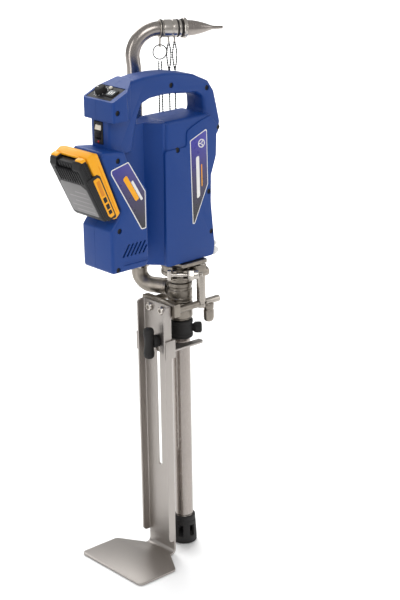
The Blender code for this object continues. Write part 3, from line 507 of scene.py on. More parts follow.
def head_block(side, depth, skin, past):
    """The block under the control panel; skin shrinks it for the hollow."""
    plan = [(-103 + skin, -past), (-103 + skin, depth - skin), (-78 - skin / 2, depth - skin),
        (-51 - skin, 15.5 - skin), (-51 - skin, -past)]
    plan = [(x, y * side) for x, y in plan]
    made = slab(rounded(plan, 4.5, 5), 692 + skin, 752 - skin, "XY")
    return cut(made, [box((-80, -80, -1.8 * skin), (90, 80, 70), 0, PANEL)])


def screw_face(spot):
    """How far the right flank stands out from the parting plane where a screw sits."""
    x, z = spot
    depth = DEPTHS["right"]
    if x < -90:
        return depth["head"] if z > 690 else depth["block"]
    if z > 680 or x > 95:
        return depth["handle"]
    return depth["pump"] + (2 if z < 636 or x > 34 else 0)


def make_half(half):
    """One housing half: shells joined, hollowed, cut at the parting plane and then detailed."""
    side = -1 if half == "right" else 1
    depth = DEPTHS[half]
    shell = half_slab(HANDLE, side, depth["handle"], 9, 5, 12, "moulded_half_" + half)
    joined = [half_slab(BLOCK, side, depth["block"], 6, 4, 13.1),
        half_slab(PUMP_END, side, depth["pump"], 7, 5, 14.3),
        half_slab(VALLEY, side, depth["valley"], 3, 0.5, 15.2),
        head_block(side, depth["head"], 0, 16.4)]
    if half == "right":
        joined.append(half_slab(RAISED, side, depth["pump"] + 2, 6, 1.1, 17.3))
        flank = [(-8.2, -28.5), (3, -28.5), (3, -4), (-27, -4), (-26.4, -8)]
        joined.append(slab(rounded(flank, 1.5, 4), 467.3, 675.6, "XY", None, 1.4))
    cut(shell, joined, "UNION")
    hollows = []
    for number, (label, outline) in enumerate((("handle", HANDLE),
            ("block", BLOCK), ("pump", PUMP_END))):
        inner = rounded(inset(outline, WALL), 4, 3)
        end = 19.5 + 1.3 * number
        hollows.append(slab(inner, *y_range(side, depth[label] - WALL, end), "XZ"))
    hollows.append(head_block(side, depth["head"], WALL, 28))
    passage = [(-70, 488), (-70, 640), (-48, 670), (6, 670), (6, 474), (-8, 474), (-40, 488)]
    hollows.append(slab(passage, *y_range(side, depth["valley"] - WALL, 26), "XZ"))
    cut(shell, hollows)
    low, high = y_range(side, GAP / 2, 60)
    cut(shell, [box((-220, low, 400), (220, high, 800)),
        rod((PUMP_X, 0, 455), (PUMP_X, 0, 475), 15, 40), box((-105, -8.5, 657), (-90, 10.5, 689)),
        box((-15.5, -29, -2.6), (15.5, 25, 6), 0, PANEL),
        box((25, -11, -6), (75, 11, 6), 0, RAKE_FRAME)])
    if half == "right":
        cut_details(shell)
    shell.data.set_sharp_from_angle(angle=radians(40))
    dress(shell, ("moulded_blue", "frame", "blue_plastic", "housing_" + half))


def cut_details(shell):
    """Screw pockets, slanted louvres and the ledge under them, in the right half only."""
    tools = []
    for spot in HOUSING_SCREWS + MORE_SCREWS:
        x, z = spot
        face = -screw_face(spot)
        tools.append(rod((x, face - 4, z), (x, face + POCKET, z), 4, 28))
    wide, low, end = 3.6, 499.5, -48
    for index in range(6):
        x = -95 + index * 2 * wide
        share = min(1, (end - x - wide) / 12)
        top, lean = low + 17.5 * share, 12 * share
        slot = rounded([(x, low), (x + wide, low), (x + wide + lean, top), (x + lean, top)], 0.9, 3)
        tools.append(slab(slot, -45, -30))
    ledge = rounded(rect(-92, 486.6, -44, 492), 1.2, 3)
    tools.append(slab(ledge, -45, -36.8))
    cut(shell, tools)


def make_screw_pockets():
    """Dark recessed screw heads with a six-lobed socket, seen at the bottom of each pocket."""
    profile = eased([(3.95, 0.05), (3.6, 0.5), (3.1, 0.75), (1.6, 0.75), (1.4, 0.1), (0, 0.1)], 0.2)
    for index, spot in enumerate(HOUSING_SCREWS + MORE_SCREWS):
        x, z = spot
        floor = POCKET - screw_face(spot)
        collect("pocket_screw_%d" % (index + 1),
            lathe_mesh(profile, (x, floor, z), (x, floor - 5, z), 28),
            ("switch_black", "frame", "black_plastic"))


def ribbon(name, outline, depth, look, lift=0.25):
    """Thin raised film on the right-hand face."""
    plate(name, rounded(outline, 3, 5), -(depth + lift), -(depth - 0.4), (look, "frame"),
        "XZ", None, 0, 0.12)


def make_side_plug():
    """Pale plug and its cap, standing out of the pump end's edge near its foot."""
    inner, outer, y = 82.5, 96, -24.5
    profile = [(0, 13.5), (3.2, 13.5), (4.4, 12.9), (4.8, 11.5), (4.8, 9.4), (6.4, 8.8),
        (6.4, 3.6), (5.4, 3), (5.4, 0), (0, 0)]
    lathe("side_plug", profile, (inner, y, 469), (outer, y, 469), ("label_white", "frame"), 40, 0.5)
    cap = [(0, 10.5), (3, 10.5), (4, 9.7), (4, 5.2), (3.4, 4.6), (3.4, 0), (0, 0)]
    lathe("side_plug_cap", cap, (inner, y, 480), (outer, y, 480), ("label_white", "frame"), 40, 0.4)


def make_labels():
    """Generic printed panels: a violet field in a pale border, with plain stripes for its print."""
    block_face, pump_face = DEPTHS["right"]["block"], DEPTHS["right"]["pump"] + 2
    left = [(-79, 635), (-110, 628), (-110, 622), (-75, 562), (-59, 534), (-50, 534), (-50, 588)]
    ribbon("label_left_border", left, block_face, "label_white")
    ribbon("label_left_field", inset(rounded(left, 3, 2), 1.5), block_face, "label_violet", 0.42)
    stripe = [(-90, 612), (-83.5, 617), (-61.5, 580), (-68, 576.5)]
    ribbon("label_left_band", stripe, block_face, "battery_yellow", 0.6)
    small = [(-79.5, 604), (-76, 606.5), (-58.5, 576.5), (-62, 574.5)]
    ribbon("label_left_line", [(x + 3.6, z + 1.5) for x, z in small], block_face,
        "label_white", 0.6)
    right = [(71, 657), (38.5, 644), (41.5, 520), (45.5, 520), (72, 575)]
    ribbon("label_right_border", right, pump_face, "label_white")
    ribbon("label_right_field", inset(rounded(right, 3, 2), 1.3), pump_face, "label_violet", 0.42)
    bar = [(49.2, 618), (55.2, 620), (56.2, 560), (50.2, 556)]
    ribbon("label_right_band", bar, pump_face, "label_white", 0.6)
    thin = [(59, 606), (60.6, 606.5), (61, 574), (59.4, 573)]
    ribbon("label_right_line", thin, pump_face, "battery_yellow", 0.6)
    ring = [(6.3, 0), (6.3, 0.35), (4.9, 0.35), (4.9, 0)]
    lathe("label_emblem_ring", ring, (EMBLEM_X, -33.35, EMBLEM_Z), (EMBLEM_X, -34, EMBLEM_Z),
        ("label_white", "frame"), 40, 0, True)
    for index in range(3):
        turn = Matrix.Translation((EMBLEM_X, 0, EMBLEM_Z)) @ spun(120 * index + 30, "Y")
        block("label_emblem_arm_%d" % (index + 1), (-0.8, -33.75, 0.8), (0.8, -33.3, 4.4),
            ("label_white", "frame"), 0, turn)


# ---------------------------------------------------------------- controls and battery
KEY_AT, DIAL_AT = (10.5, -2), (1, 9)


def film(name, outline, low, high, look, space, edge, body="frame"):
    """A thin plate on a plane of its own, rounded on its outer rim only."""
    plate(name, outline, low, high, (look, body), "XY", space, edge, 0)


def on_panel(x, y, height):
    return PANEL @ Vector((x, y, height))


def make_controls():
    """Cover, display, dial with its scale and the mode button, all square to the slanted panel."""
    outline = rounded(rect(-15, -28.5, 15, 24.5), 3, 5)
    cover = slab(outline, -2.3, -0.5, "XY", PANEL, 0.5, 0, name="panel_cover")
    cut(cover, [rod(on_panel(*KEY_AT, -4), on_panel(*KEY_AT, 2), 3, 40)])
    dress(cover, ("switch_black", "frame", "black_plastic", "control_panel"))
    film("display_rim", rounded(rect(-7, -24, 8, -6), 2, 5), -1.5, 1, "soft_black", PANEL, 0.6)
    film("display_window", rounded(rect(-5, -22, 6, -8), 1, 4), 0.6, 1.15, "display_glass",
        PANEL, 0.2)
    for index in range(3):
        z = -19.6 + index * 3.9
        bar = rect(-3.4, z, 4.2 - index * 1.6, z + 1.6)
        film("display_bar_%d" % (index + 1), rounded(bar, 0.3, 2), 1.1, 1.25, "label_white",
            PANEL, 0.05)
    dial = [(0, 7), (4.6, 7), (5.6, 6.6), (6.6, 7), (7.7, 6.2), (8.5, 0.4), (8.5, 0), (0, 0)]
    lathe("dial_knob", dial, on_panel(*DIAL_AT, -0.2), on_panel(*DIAL_AT, 9.8),
        ("soft_black", "dial", "black_plastic", "pressure_dial"), 96, 0.4, False,
        knurl(0.35, 0.5, 6.3, 4, 2))
    mark = PANEL @ Matrix.Translation((*DIAL_AT, 0))
    film("dial_mark", rounded(rect(-0.6, 2, 0.6, 6.2), 0.3, 3), 6.5, 6.95, "label_white",
        mark, 0.1, "dial")
    cap = [(0, 3), (1.5, 2.85), (2.3, 2.4), (2.6, 1.8), (2.6, 0), (0, 0)]
    lathe("mode_cap", cap, on_panel(*KEY_AT, -0.2), on_panel(*KEY_AT, 2.8),
        ("switch_cream_and_painted_highlight", "mode_key", "white_plastic", "mode_button"), 40, 0.3)
    tick = rect(9.6, -0.35, 11.2, 0.35)
    for index in range(11):
        turn = mark @ spun(30 * index - 60, "Z")
        film("dial_tick_%d" % (index + 1), tick, -0.5, -0.3, "label_white", turn, 0)


def make_rocker():
    """Rocker with a hollowed, lined face inside its frame; the cream of its upper part is a painted
    highlight.
    """
    outline = [(-101.5, 674.5), (-99, 683.8), (-94.5, 683.8), (-94.5, 665.2), (-98.2, 665.2)]
    # The paddle's cream upper part is a painted highlight, where the switch's top catches the
    # light.
    plate("rocker_paddle", rounded(outline, 0.9, 4), -5.2, 7.2,
        ("switch_cream_and_painted_highlight", "rocker", "white_plastic", "rocker_switch"), "XZ", None, 0.5, 0.5)
    pad = [(-98.35, 665), (-101.75, 674.6), (-101.2, 677.4), (-99, 677),
        (-99.2, 674.6), (-96.6, 665)]
    plate("rocker_pad", rounded(pad, 0.3, 2), -5.35, 7.35, ("switch_black", "rocker"), "XZ",
        None, 0.3)
    for index in range(4):
        z = 666.6 + index * 1.9
        x = -98.95 - index * 0.675
        strip = [(x - 0.35, z - 0.4), (x + 0.9, z - 0.4), (x + 0.9, z + 0.5), (x - 0.7, z + 0.5)]
        plate("rocker_rib_%d" % (index + 1), strip, -4.2, 6.2, ("soft_black", "rocker"),
            "XZ", None, 0.15)
    outer = rounded(rect(-8.4, 657.2, 10.4, 688.8), 2.2, 5)
    bezel = slab(outer, -99.4, -92, "YZ", None, 0, 0.7, name="switch_bezel")
    well = rounded(rect(-5.6, 663.9, 7.6, 685.1), 1, 3)
    cut(bezel, [slab(well, -104, -90.5, "YZ")])
    dress(bezel, ("switch_black", "frame", "black_plastic", "switch_frame"))
    lamp = [(0, 1.1), (0.9, 1), (1.5, 0.6), (1.7, 0), (1.7, -0.8), (0, -0.8)]
    lathe("switch_lamp", lamp, (-99.3, 1, 660.6), (-102, 1, 660.6), ("lamp_red", "frame"), 24, 0)


def make_battery():
    """Yellow shoe next to the housing, dark body, grey film and ridged grip on the outer face."""
    side = [(-3, 2.8), (-7, 12), (-4, 18.5), (97, 21.5), (99, 12), (94, 2.8)]
    shell = slab(rounded(side, 3, 5), -38, 34, "XZ", RAKE_FRAME, 2.2, name="battery_shell")
    cut(shell, [box((-20, -13.5, -1), (90, 11.5, 8), 0, RAKE_FRAME),
        slab(rounded([(2, 7.6), (78, 8.4), (78, 9.2), (2, 8.4)], 0.3, 2), -45, -37.3,
        "XZ", RAKE_FRAME)])
    dress(shell, ("battery_yellow", "battery", "yellow_plastic", "battery_cover"))
    low_side = [(-4, 18.8), (-2, 29), (4, 32), (88, 38.5), (97, 34), (97.5, 21.8)]
    base = slab(rounded(low_side, 4, 5), -37, 33, "XZ", RAKE_FRAME, 4.5, name="battery_body")
    cut(base, [box((84, -20, 22), (110, 16, 44), 0, RAKE_FRAME)])
    dress(base, ("battery_black", "battery", "grey_plastic", "battery_base"))
    tilt = RAKE_FRAME @ Matrix.Translation((4, 0, 32)) @ spun(-4.4, "Y")
    make_battery_face(tilt)
    make_battery_side()


def make_battery_face(tilt):
    sheet = rounded([(3, -31), (50, -31), (57, -22), (57, 22), (52, 27), (3, 27)], 3, 5)
    film("pack_film", sheet, -0.6, 0.5, "battery_grey", tilt, 0.4, "battery")
    for row, length in enumerate((40, 46, 34, 42, 26)):
        x = row * 8.2
        line = rounded(rect(8 + x, -26, 10.2 + x, length - 26), 0.8, 3)
        film("pack_film_line_%d" % (row + 1), line, 0.4, 0.62, "battery_pale", tilt, 0.1, "battery")
    for index in range(10):
        y = -31 + index * 5.4
        rib = rounded([(60, y), (79, y), (83, y + 1.2), (79, y + 2.4), (60, y + 2.4)], 0.8, 3)
        film("pack_ridge_%d" % (index + 1), rib, -0.8, 1.5, "battery_black", tilt, 0.7, "battery")
    block("latch_key", (84.6, -19.5, 24), (94, 15.5, 35),
        ("battery_black", "battery_key", "black_plastic", "battery_latch"), 1.4, RAKE_FRAME)
    for index in range(5):
        y = -16 + index * 6.2
        block("latch_ridge_%d" % (index + 1), (86, y, 34.2), (92.8, y + 3, 35.9),
            ("battery_black", "battery_key"), 0.4, RAKE_FRAME)
    for name, low, high in (("front", -36.4, -21.5), ("rear", 17.5, 32.4)):
        block("pack_wing_" + name, (88, low, 22.2), (98.6, high, 31.6),
            ("battery_yellow", "battery"), 2.4, RAKE_FRAME)
    block("pack_lip", (95.5, -21.6, 21.6), (98.9, 17.6, 24.2), ("battery_yellow", "battery"),
        0.9, RAKE_FRAME)


def make_battery_side():
    """Raised strip with plain embossed tiles on each flank, and a dark bead round it."""
    for name, low, high, inner in (("front", -38.5, -36.2, -38.9), ("rear", 32.2, 34.5, 34.1)):
        facing = name == "front"
        bead = rounded([(-4, 10.6), (64, 12), (69, 16), (69, 34.4), (6, 29.6), (-2, 25.6)], 2.4, 4)
        plate("pack_flank_" + name, bead, low, high, ("battery_black", "battery"), "XZ",
            RAKE_FRAME, 0 if facing else 0.7, 0.7 if facing else 0)
        strip = rounded([(1, 12.8), (61, 14.4), (64.5, 17), (64.5, 25.4), (5, 22.8), (0.4, 20)],
            1.8, 4)
        plate("pack_strip_" + name, strip, inner, inner + 0.8, ("battery_yellow", "battery"), "XZ",
            RAKE_FRAME, 0 if facing else 0.25, 0.25 if facing else 0)
        tiles = [(6, 12), (14, 22), (25, 33), (36, 60)]
        for index, (first, last) in enumerate(tiles):
            drop = first * 0.033
            tile = rounded([(first, 14.8 + drop), (last, 14.8 + drop * 1.1),
                (last, 20.4 + drop * 1.3), (first, 20.2 + drop * 1.3)], 0.8, 3)
            deep = inner - 0.15 if facing else inner + 0.5
            plate("pack_tile_%s_%d" % (name, index + 1), tile, deep, deep + 0.5,
                ("battery_black" if index != 3 else "battery_amber", "battery"), "XZ", RAKE_FRAME,
                0 if facing else 0.15, 0.15 if facing else 0)


# ---------------------------------------------------------------- stand
STAND_BOLTS = {"rear": (15, 393), "front": (-12, 393)}
BAR_Y, BAR_Z = 31, 395


def make_stand():
    """Folded sheet channel with rounded bends, its slot, the knee and the foot plate."""
    plan = [(0, -31.5), (0, 31.5), (-15, 31.5), (-15, 28.5), (-3, 28.5), (-3, -28.5),
        (-15, -28.5), (-15, -31.5)]
    folds = []
    for index, (before, here, after) in enumerate(corners(plan)):
        folds += bend(before, here, after, {0: 4.5, 1: 4.5, 4: 1.6, 5: 1.6}.get(index, 0.5), 5)
    channel = slab(folds, 24, 403, "XY", None, 0.3, name="folded_channel")
    side_view = [(-15, 24), (-15, 403), (2, 403), (2, 24)]
    trimmed = rounded(side_view, 7.5, 8)[:18] + side_view[2:]
    cut(channel, [slab(trimmed, -40, 40)], "INTERSECT", "EXACT")
    outer, inner = [], []
    for step in range(13):
        angle = radians(90 * step / 12)
        outer.append((-9 + 9 * cos(angle), 9 - 9 * sin(angle)))
        inner.append((-9 + 6 * sin(angle), 9 - 6 * cos(angle)))
    profile = [(0, 40)] + outer + [(-20, 0), (-20, 3)] + inner + [(-3, 40)]
    knee = slab(profile, -29, 29, "XZ", None, 0.3)
    foot = [(-106, -71), (-37, -71), (-12, -29.5), (-12, 29.5), (-37, 71), (-106, 71)]
    sole = slab(rounded(foot, 9, 8), 0, 3, "XY", None, 0.5)
    cut(channel, [knee, sole], "UNION", "EXACT")
    slot = rounded(rect(-4.4, 142, 4.4, 352), 4.3, 10)
    holes = [rod((-20, *spot), (10, *spot), 3.2) for spot in STAND_BOLTS.values()]
    cut(channel, [slab(slot, -10, 10, "YZ")] + holes, "DIFFERENCE", "EXACT")
    dress(channel, ("stand_nickel", "frame", "satin_steel", "stand_channel"))
    head = [(0, 0.3), (6.1, 0.3), (6.5, 0), (6.5, -2.6), (5.6, -3.9), (4.6, -4.3),
        (2.9, -4.3), (2.9, -2.2), (0, -2.2)]
    for name, spot in STAND_BOLTS.items():
        lathe("stand_bolt_" + name, head, (-3.3, *spot), (20, *spot),
            ("bright_steel", "frame", "polished_steel", "stand_screw_" + name), 48, 0.35)


def make_hook_and_knob():
    """Saddle with its forked shelf, and the T-shaped knob that clamps it to the channel."""
    grip_x = -19.5
    outline = [(-15, 31.8), (-15, 34.8), (3.3, 34.8), (3.3, -34.8), (-15, -34.8), (-15, -31.8),
        (0.3, -31.8), (0.3, 31.8)]
    saddle = slab(rounded(outline, 2.2, 4), 324, 352, "XY", None, 0.5, name="saddle_hook")
    shelf = [(2, -32), (58, -32), (62, -28), (62, -19.5), (PUMP_X, -19.5)]
    for step in range(1, 24):
        angle = radians(-90 - 180 * step / 24)
        shelf.append((PUMP_X + 19.5 * cos(angle), 19.5 * sin(angle)))
    shelf += [(PUMP_X, 19.5), (62, 19.5), (62, 28), (58, 32), (2, 32)]
    cut(saddle, [slab(shelf, 332, 335, "XY", None, 0.3)], "UNION")
    cut(saddle, [rod((-8, 0, KNOB_Z), (20, 0, KNOB_Z), 3.8, 32)])
    dress(saddle, ("stand_nickel", "hook", "satin_steel", "pail_hook"))
    hub = [(0, 17), (3, 17), (3.4, 16.4), (3.4, -3.6), (8.6, -3.6), (9.5, -4.6), (9.5, -9),
        (8.6, -12.2), (7, -14), (0, -14)]
    lathe("knob_core", hub, (0, 0, KNOB_Z), (10, 0, KNOB_Z),
        ("soft_black", "hook_knob", "black_plastic", "clamp_knob"), 48, 0.6)
    grip = [(0, 48), (3.4, 48), (6.4, 46.8), (7.9, 44), (8, 38), (7, 31), (6.6, 24), (7, 17),
        (8, 10), (7.9, 4), (6.4, 1.2), (3.4, 0), (0, 0)]
    lathe("knob_bar", grip, (grip_x, 0, KNOB_Z - 24), (grip_x, 0, KNOB_Z + 24),
        ("soft_black", "hook_knob"), 40, 2)
    for index, z in enumerate((KNOB_Z - 16.5, KNOB_Z + 15.1)):
        lathe("knob_grip_ring_%d" % (index + 1), [(7.4, 0), (8.3, 0.3), (8.3, 1.1), (7.4, 1.4)],
            (grip_x, 0, z), (grip_x, 0, z + 5), ("soft_black", "hook_knob"), 40, 0.2)


def make_supports():
    """Bracket with its bars, the tie rods and the hanger under the mount plate."""
    bracket = box((0.3, -37, 386), (12, 37, 406), 1.6, name="cross_bracket")
    cut(bracket, [rod((8, y, BAR_Z), (50, y, BAR_Z), 5.2, 40) for y in (-BAR_Y, BAR_Y)], "UNION")
    cut(bracket, [rod((-5, *spot), (20, *spot), 3.2) for spot in STAND_BOLTS.values()])
    dress(bracket, ("cast_steel", "frame", "cast_steel", "stand_bracket"))
    for side, name in ((-1, "front"), (1, "rear")):
        spot = (57, side * 31.5)
        profile = [(0, 69), (6, 69), (6.7, 68.2), (6.7, 63.5), (5.9, 62.9), (5.9, 60.6), (6.7, 60),
            (6.7, 9), (5.9, 8.4), (5.9, 6.1), (6.7, 5.5), (6.7, 0.8), (6, 0), (0, 0)]
        lathe("tie_post_" + name, profile, (*spot, 389), (*spot, 458),
            ("turned_steel", "frame", "satin_steel", "tie_rod_" + name), 48, 0.25)
    arm = [(0, 28), (4.4, 28), (5.2, 27.2), (5.2, 0.8), (4.4, 0), (0, 0)]
    lathe("hanger_pin", arm, (64, -BAR_Y, BAR_Z), (92, -BAR_Y, BAR_Z),
        ("turned_steel", "frame", "satin_steel", "hanger_bar"), 40, 0.3)
    lock = [(0, 30), (5.4, 30), (6.6, 29.2), (7.9, 27.6), (7.9, 21), (7.1, 20.2), (7.1, 18.8),
        (7.9, 18), (7.9, 6), (7.2, 3), (5, 0.5), (0, 0)]
    pin = [(0, 18), (5.8, 18), (7.2, 16.8), (7.2, 4.4), (6.4, 3.8), (6.4, 2.6), (7.2, 2),
        (6.4, 0), (0, 0)]
    lathe("cross_pin", pin, (51, -31.5, 443.5), (80, -31.5, 443.5), ("cast_steel", "frame"),
        48, 0.5)
    lug = rounded(rect(41, -38.5, 64, -21), 5, 6)
    collect("head_lug", plate_mesh(lug, 438.5, 456.5, "XY", None, 1.4), ("cast_steel", "frame"))
    lathe("hanger_lock", lock, (72, -BAR_Y, BAR_Z - 32), (72, -BAR_Y, BAR_Z - 4),
        ("cast_steel", "frame"), 40, 0.6)


# ---------------------------------------------------------------- pump column
def threads(radius, depth, low, high, pitch):
    """Zigzag profile for a screwed stretch, from high to low."""
    points = []
    z = high
    while z > low + pitch:
        points += [(radius - depth, z), (radius, z - pitch * 0.5)]
        z -= pitch
    return points


def sleeve(name, profile, foot, top, finish, sides, ease, wobble=None):
    """A hollow part round the pump's axis."""
    lathe(name, profile, (PUMP_X, 0, foot), (PUMP_X, 0, top), finish, sides, ease, True, wobble)


def make_column():
    """Mount plate and the parts under it, from the head down to the strainer."""
    mount = slab(rounded(rect(18, -38, 66, 38), 5, 6), 458.3, 463.7, "XY", None,
        0.9, name="mount_slab")
    cut(mount, [rod((PUMP_X, 0, 450), (PUMP_X, 0, 470), 14.5, 48)])
    dress(mount, ("cast_steel", "frame", "satin_steel", "pump_mount_plate"))
    head = [(12, 22), (22, 22), (22, 19), (20, 17), (19.6, 13), (20.4, 12), (20.4, 9.5),
        (19.6, 8.5), (20, 4), (22, 2), (22, 0), (18.3, -0.2), (18.3, -9), (7.4, -9),
        (7.4, 5), (12, 5)]
    sleeve("cast_head", head, 436, 458, ("cast_steel", "frame", "cast_steel", "pump_head"), 64, 0.7)
    sleeve("packing_stack", [(11.7, 13.7), (11.7, 0), (7.3, 0), (7.3, 13.7)], 441.3, 455,
        ("soft_black", "frame", "black_rubber", "rod_packing"), 48, 0.6)
    barrel = [(9.8, 30), (17.6, 30), (18.6, 29), (18.6, 23.6), (17.3, 22.6), (17.3, 19.4),
        (18.6, 18.4), (18.6, 8.5), (17.9, 7.9), (17.9, 6.7), (18.6, 6.1), (18.6, 1),
        (17.6, 0), (9.8, 0)]
    sleeve("cylinder_barrel", barrel, 396, 426,
        ("cast_steel", "frame", "cast_steel", "pump_cylinder"), 64, 0.5)
    valve = [(9.8, 28), (17.6, 28), (18.6, 27), (18.6, 22), (17.5, 21), (17.5, 18.5), (18.6, 17.5),
        (18.6, 5), (17.6, 3.6), (16.2, 0), (4, 0), (4, 8), (9.8, 8)]
    sleeve("valve_housing", valve, 367, 395,
        ("cast_steel", "frame", "cast_steel", "inlet_valve_body"), 64, 0.5)
    coupling = [(9.8, 28), (17.4, 28), (18.6, 26.8), (18.6, 22.5), (17.8, 21.9), (17.8, 6.1),
        (18.6, 5.5), (18.6, 1.6), (17.4, 0), (14.4, 0), (14.4, 14), (9.8, 16)]
    sleeve("coupling_collar", coupling, 338.6, 366.6,
        ("soft_black", "frame", "black_plastic", "intake_coupling"), 96, 0.4,
        knurl(0.5, 6.5, 21.5, 6, 2))
    pipe = [(11, 315), (13.4, 315), (14, 314.2), (14, 10), (13.5, 9.6), (13.5, 8.4), (14, 8),
        (14, 0.7), (13.4, 0), (11, 0)]
    sleeve("suction_pipe", pipe, 37, 352, ("tube_steel", "frame", "satin_steel", "intake_tube"),
        64, 0.4)
    make_strainer()
    heading = Vector((cos(radians(-40)), sin(radians(-40)), 0))
    start = Vector((PUMP_X, 0, 352)) + heading * 18.9
    knob = [(0, 13), (5.4, 13), (7.2, 12.4), (8.5, 11), (8.5, 3.2), (7.4, 1.8),
        (6, 0), (5.2, -1.9), (0, -1.9)]
    lathe("collar_knob", knob, start, start + heading,
        ("soft_black", "coupling_screw", "black_plastic", "coupling_knob"), 72, 0.5, False,
        knurl(0.5, 2.5, 11.5, 6, 2))


def make_strainer():
    """Suction cage with six windows."""
    profile = [(14.3, 45), (16.4, 45), (17, 44), (17.3, 38), (16.6, 37.4), (16.7, 36),
        (17.5, 35.4), (18.9, 9), (19, 1.2), (18, 0), (6, 0), (6, 4), (14.3, 8)]
    cage = loose(lathe_mesh(eased(profile, 0.5, True), (PUMP_X, 0, 0), (PUMP_X, 0, 45), 72, True),
        "strainer_cage")
    tools = []
    for index in range(6):
        turn = Matrix.Translation((PUMP_X, 0, 0)) @ spun(60 * index + 30, "Z")
        tools.append(box((8, -4, 12), (30, 4, 30), 1.2, turn))
    cut(cage, tools)
    dress(cage, ("soft_black", "frame", "black_plastic", "intake_strainer"))


def make_clamp():
    """Two half rings round the head with their lugs, the swing bolt through these and its nut."""
    angle, arm = radians(230), 38.2
    out = Vector((cos(angle), sin(angle), 0))
    across = Vector((-sin(angle), cos(angle), 0))
    space = Matrix.Translation((PUMP_X, 0, CLAMP_Z)) @ Matrix(((out.x, across.x, 0, 0),
        (out.y, across.y, 0, 0), (0, 0, 1, 0), (0, 0, 0, 1)))
    profile = [(22.4, 9), (25.6, 9), (26.8, 8), (27.5, 6.4), (27.5, 2.4), (26.6, 1.6),
        (26.6, -1.6), (27.5, -2.4), (27.5, -6.4), (26.8, -8), (25.6, -9), (22.4, -9)]
    for name, side in (("left", -1), ("right", 1)):
        ring = lathe_mesh(eased(profile, 0.4, True), (PUMP_X, 0, CLAMP_Z),
            (PUMP_X, 0, CLAMP_Z + 13), 72, True)
        band = loose(ring, "clamp_shell_" + name)
        lug = rounded(rect(24, -8, 44, 8), 4.5, 6)
        turn = space @ Matrix.Rotation(pi / 2, 4, "X")
        cut(band, [slab(lug, *y_range(side, -4.6, 11), "XY", turn, 0.8)], "UNION")
        low, high = y_range(side, GAP / 2, 60)
        cut(band, [box((-70, low, -30), (70, high, 30), 0, space),
            box((34, -30, -4.2), (60, 30, 4.2), 0, space)])
        dress(band, ("cast_steel", "frame", "cast_steel", "clamp_half_" + name))

    def on_bolt(along_it, up=0):
        return space @ Vector((arm, along_it, up))

    stem = [(0, 45.5), (2.6, 45.5)] + threads(3.6, 0.45, 22, 45.2, 1.2) + [(3.6, 21),
        (3.6, 0), (0, 0)]
    lathe("swing_bolt", stem, on_bolt(-12.5), on_bolt(33),
        ("bright_steel", "frame", "polished_steel", "clamp_bolt"), 40, 0)
    eye = [(0, 15), (3.2, 15), (3.8, 14.4), (3.8, 0.6), (3.2, 0), (0, 0)]
    lathe("swing_pivot", eye, on_bolt(-15, -7.5), on_bolt(-15, 7.5), ("bright_steel", "frame"),
        40, 0.3)
    line = along(on_bolt(11.4), on_bolt(27.5))
    nut = slab(rounded(hexagon(9), 1, 3), 0, 9, "XY", line, 0.8, name="swing_nut_body")
    neck = lathe_mesh(eased([(0, 16.1), (5.6, 16.1), (6.6, 15.2), (6.8, 8.5), (0, 8.5)], 0.5),
        on_bolt(11.4), on_bolt(27.5), 40)
    cut(nut, [loose(neck)], "UNION")
    cut(nut, [rod(on_bolt(5), on_bolt(40), 3.9, 32)])
    dress(nut, ("bright_steel", "swing_nut", "polished_steel", "clamp_wing_nut"))


def make_outlet():
    """Bent cast outlet from the cylinder's side up to the riser, and the nut on top of it."""
    base = Vector((TUBE_X, TUBE_Y, 0))
    side = (base - Vector((PUMP_X, 0, 0))).normalized()
    level, bow = 414.5, 20
    start = Vector((PUMP_X, 0, level)) + side * 19.8
    entry = base + Vector((0, 0, level)) - side * bow
    centre = entry + Vector((0, 0, bow))
    points = [start, start.lerp(entry, 0.5)]
    for step in range(19):
        angle = radians(90 * step / 18)
        points.append(centre + side * bow * sin(angle) - Vector((0, 0, bow * cos(angle))))
    points.append(base + Vector((0, 0, 441)))
    swept("cast_elbow", points, 12, ("cast_steel", "frame", "cast_steel", "outlet_elbow"), 12)
    ring = [(12.1, 0), (12.5, 0.6), (12.5, 3.9), (12.1, 4.5)]
    lathe("elbow_bead", ring, start + side * 2, start + side * 6.5, ("cast_steel", "frame"),
        56, 0.3)
    space = Matrix.Translation((TUBE_X, TUBE_Y, 0))
    nut = slab(rounded(hexagon(15.5), 1.4, 3), 441.4, 460, "XY", space, 1.3, name="riser_hex")
    cut(nut, [rod((TUBE_X, TUBE_Y, 430), (TUBE_X, TUBE_Y, 470), TUBE_R + GAP, 56)])
    dress(nut, ("bright_steel", "frame", "polished_steel", "riser_nut"))


# ---------------------------------------------------------------- spout
BAND, SLEEVE, COLLAR, NOZZLE_FOOT = (38.2, 43), (43.6, 72.6), (73.2, 80), 79.8


def spout_frame():
    """Row frame turned so that X runs along the spout, from the riser's axis at its bend."""
    turn = spun(-SPOUT_TURN, "Z")
    droop = spun(SPOUT_DROOP, "Y")
    return Matrix.Translation((TUBE_X, TUBE_Y, TUBE_TOP)) @ turn @ droop


def on_spout(distance):
    return spout_frame() @ Vector((distance, 0, 0))


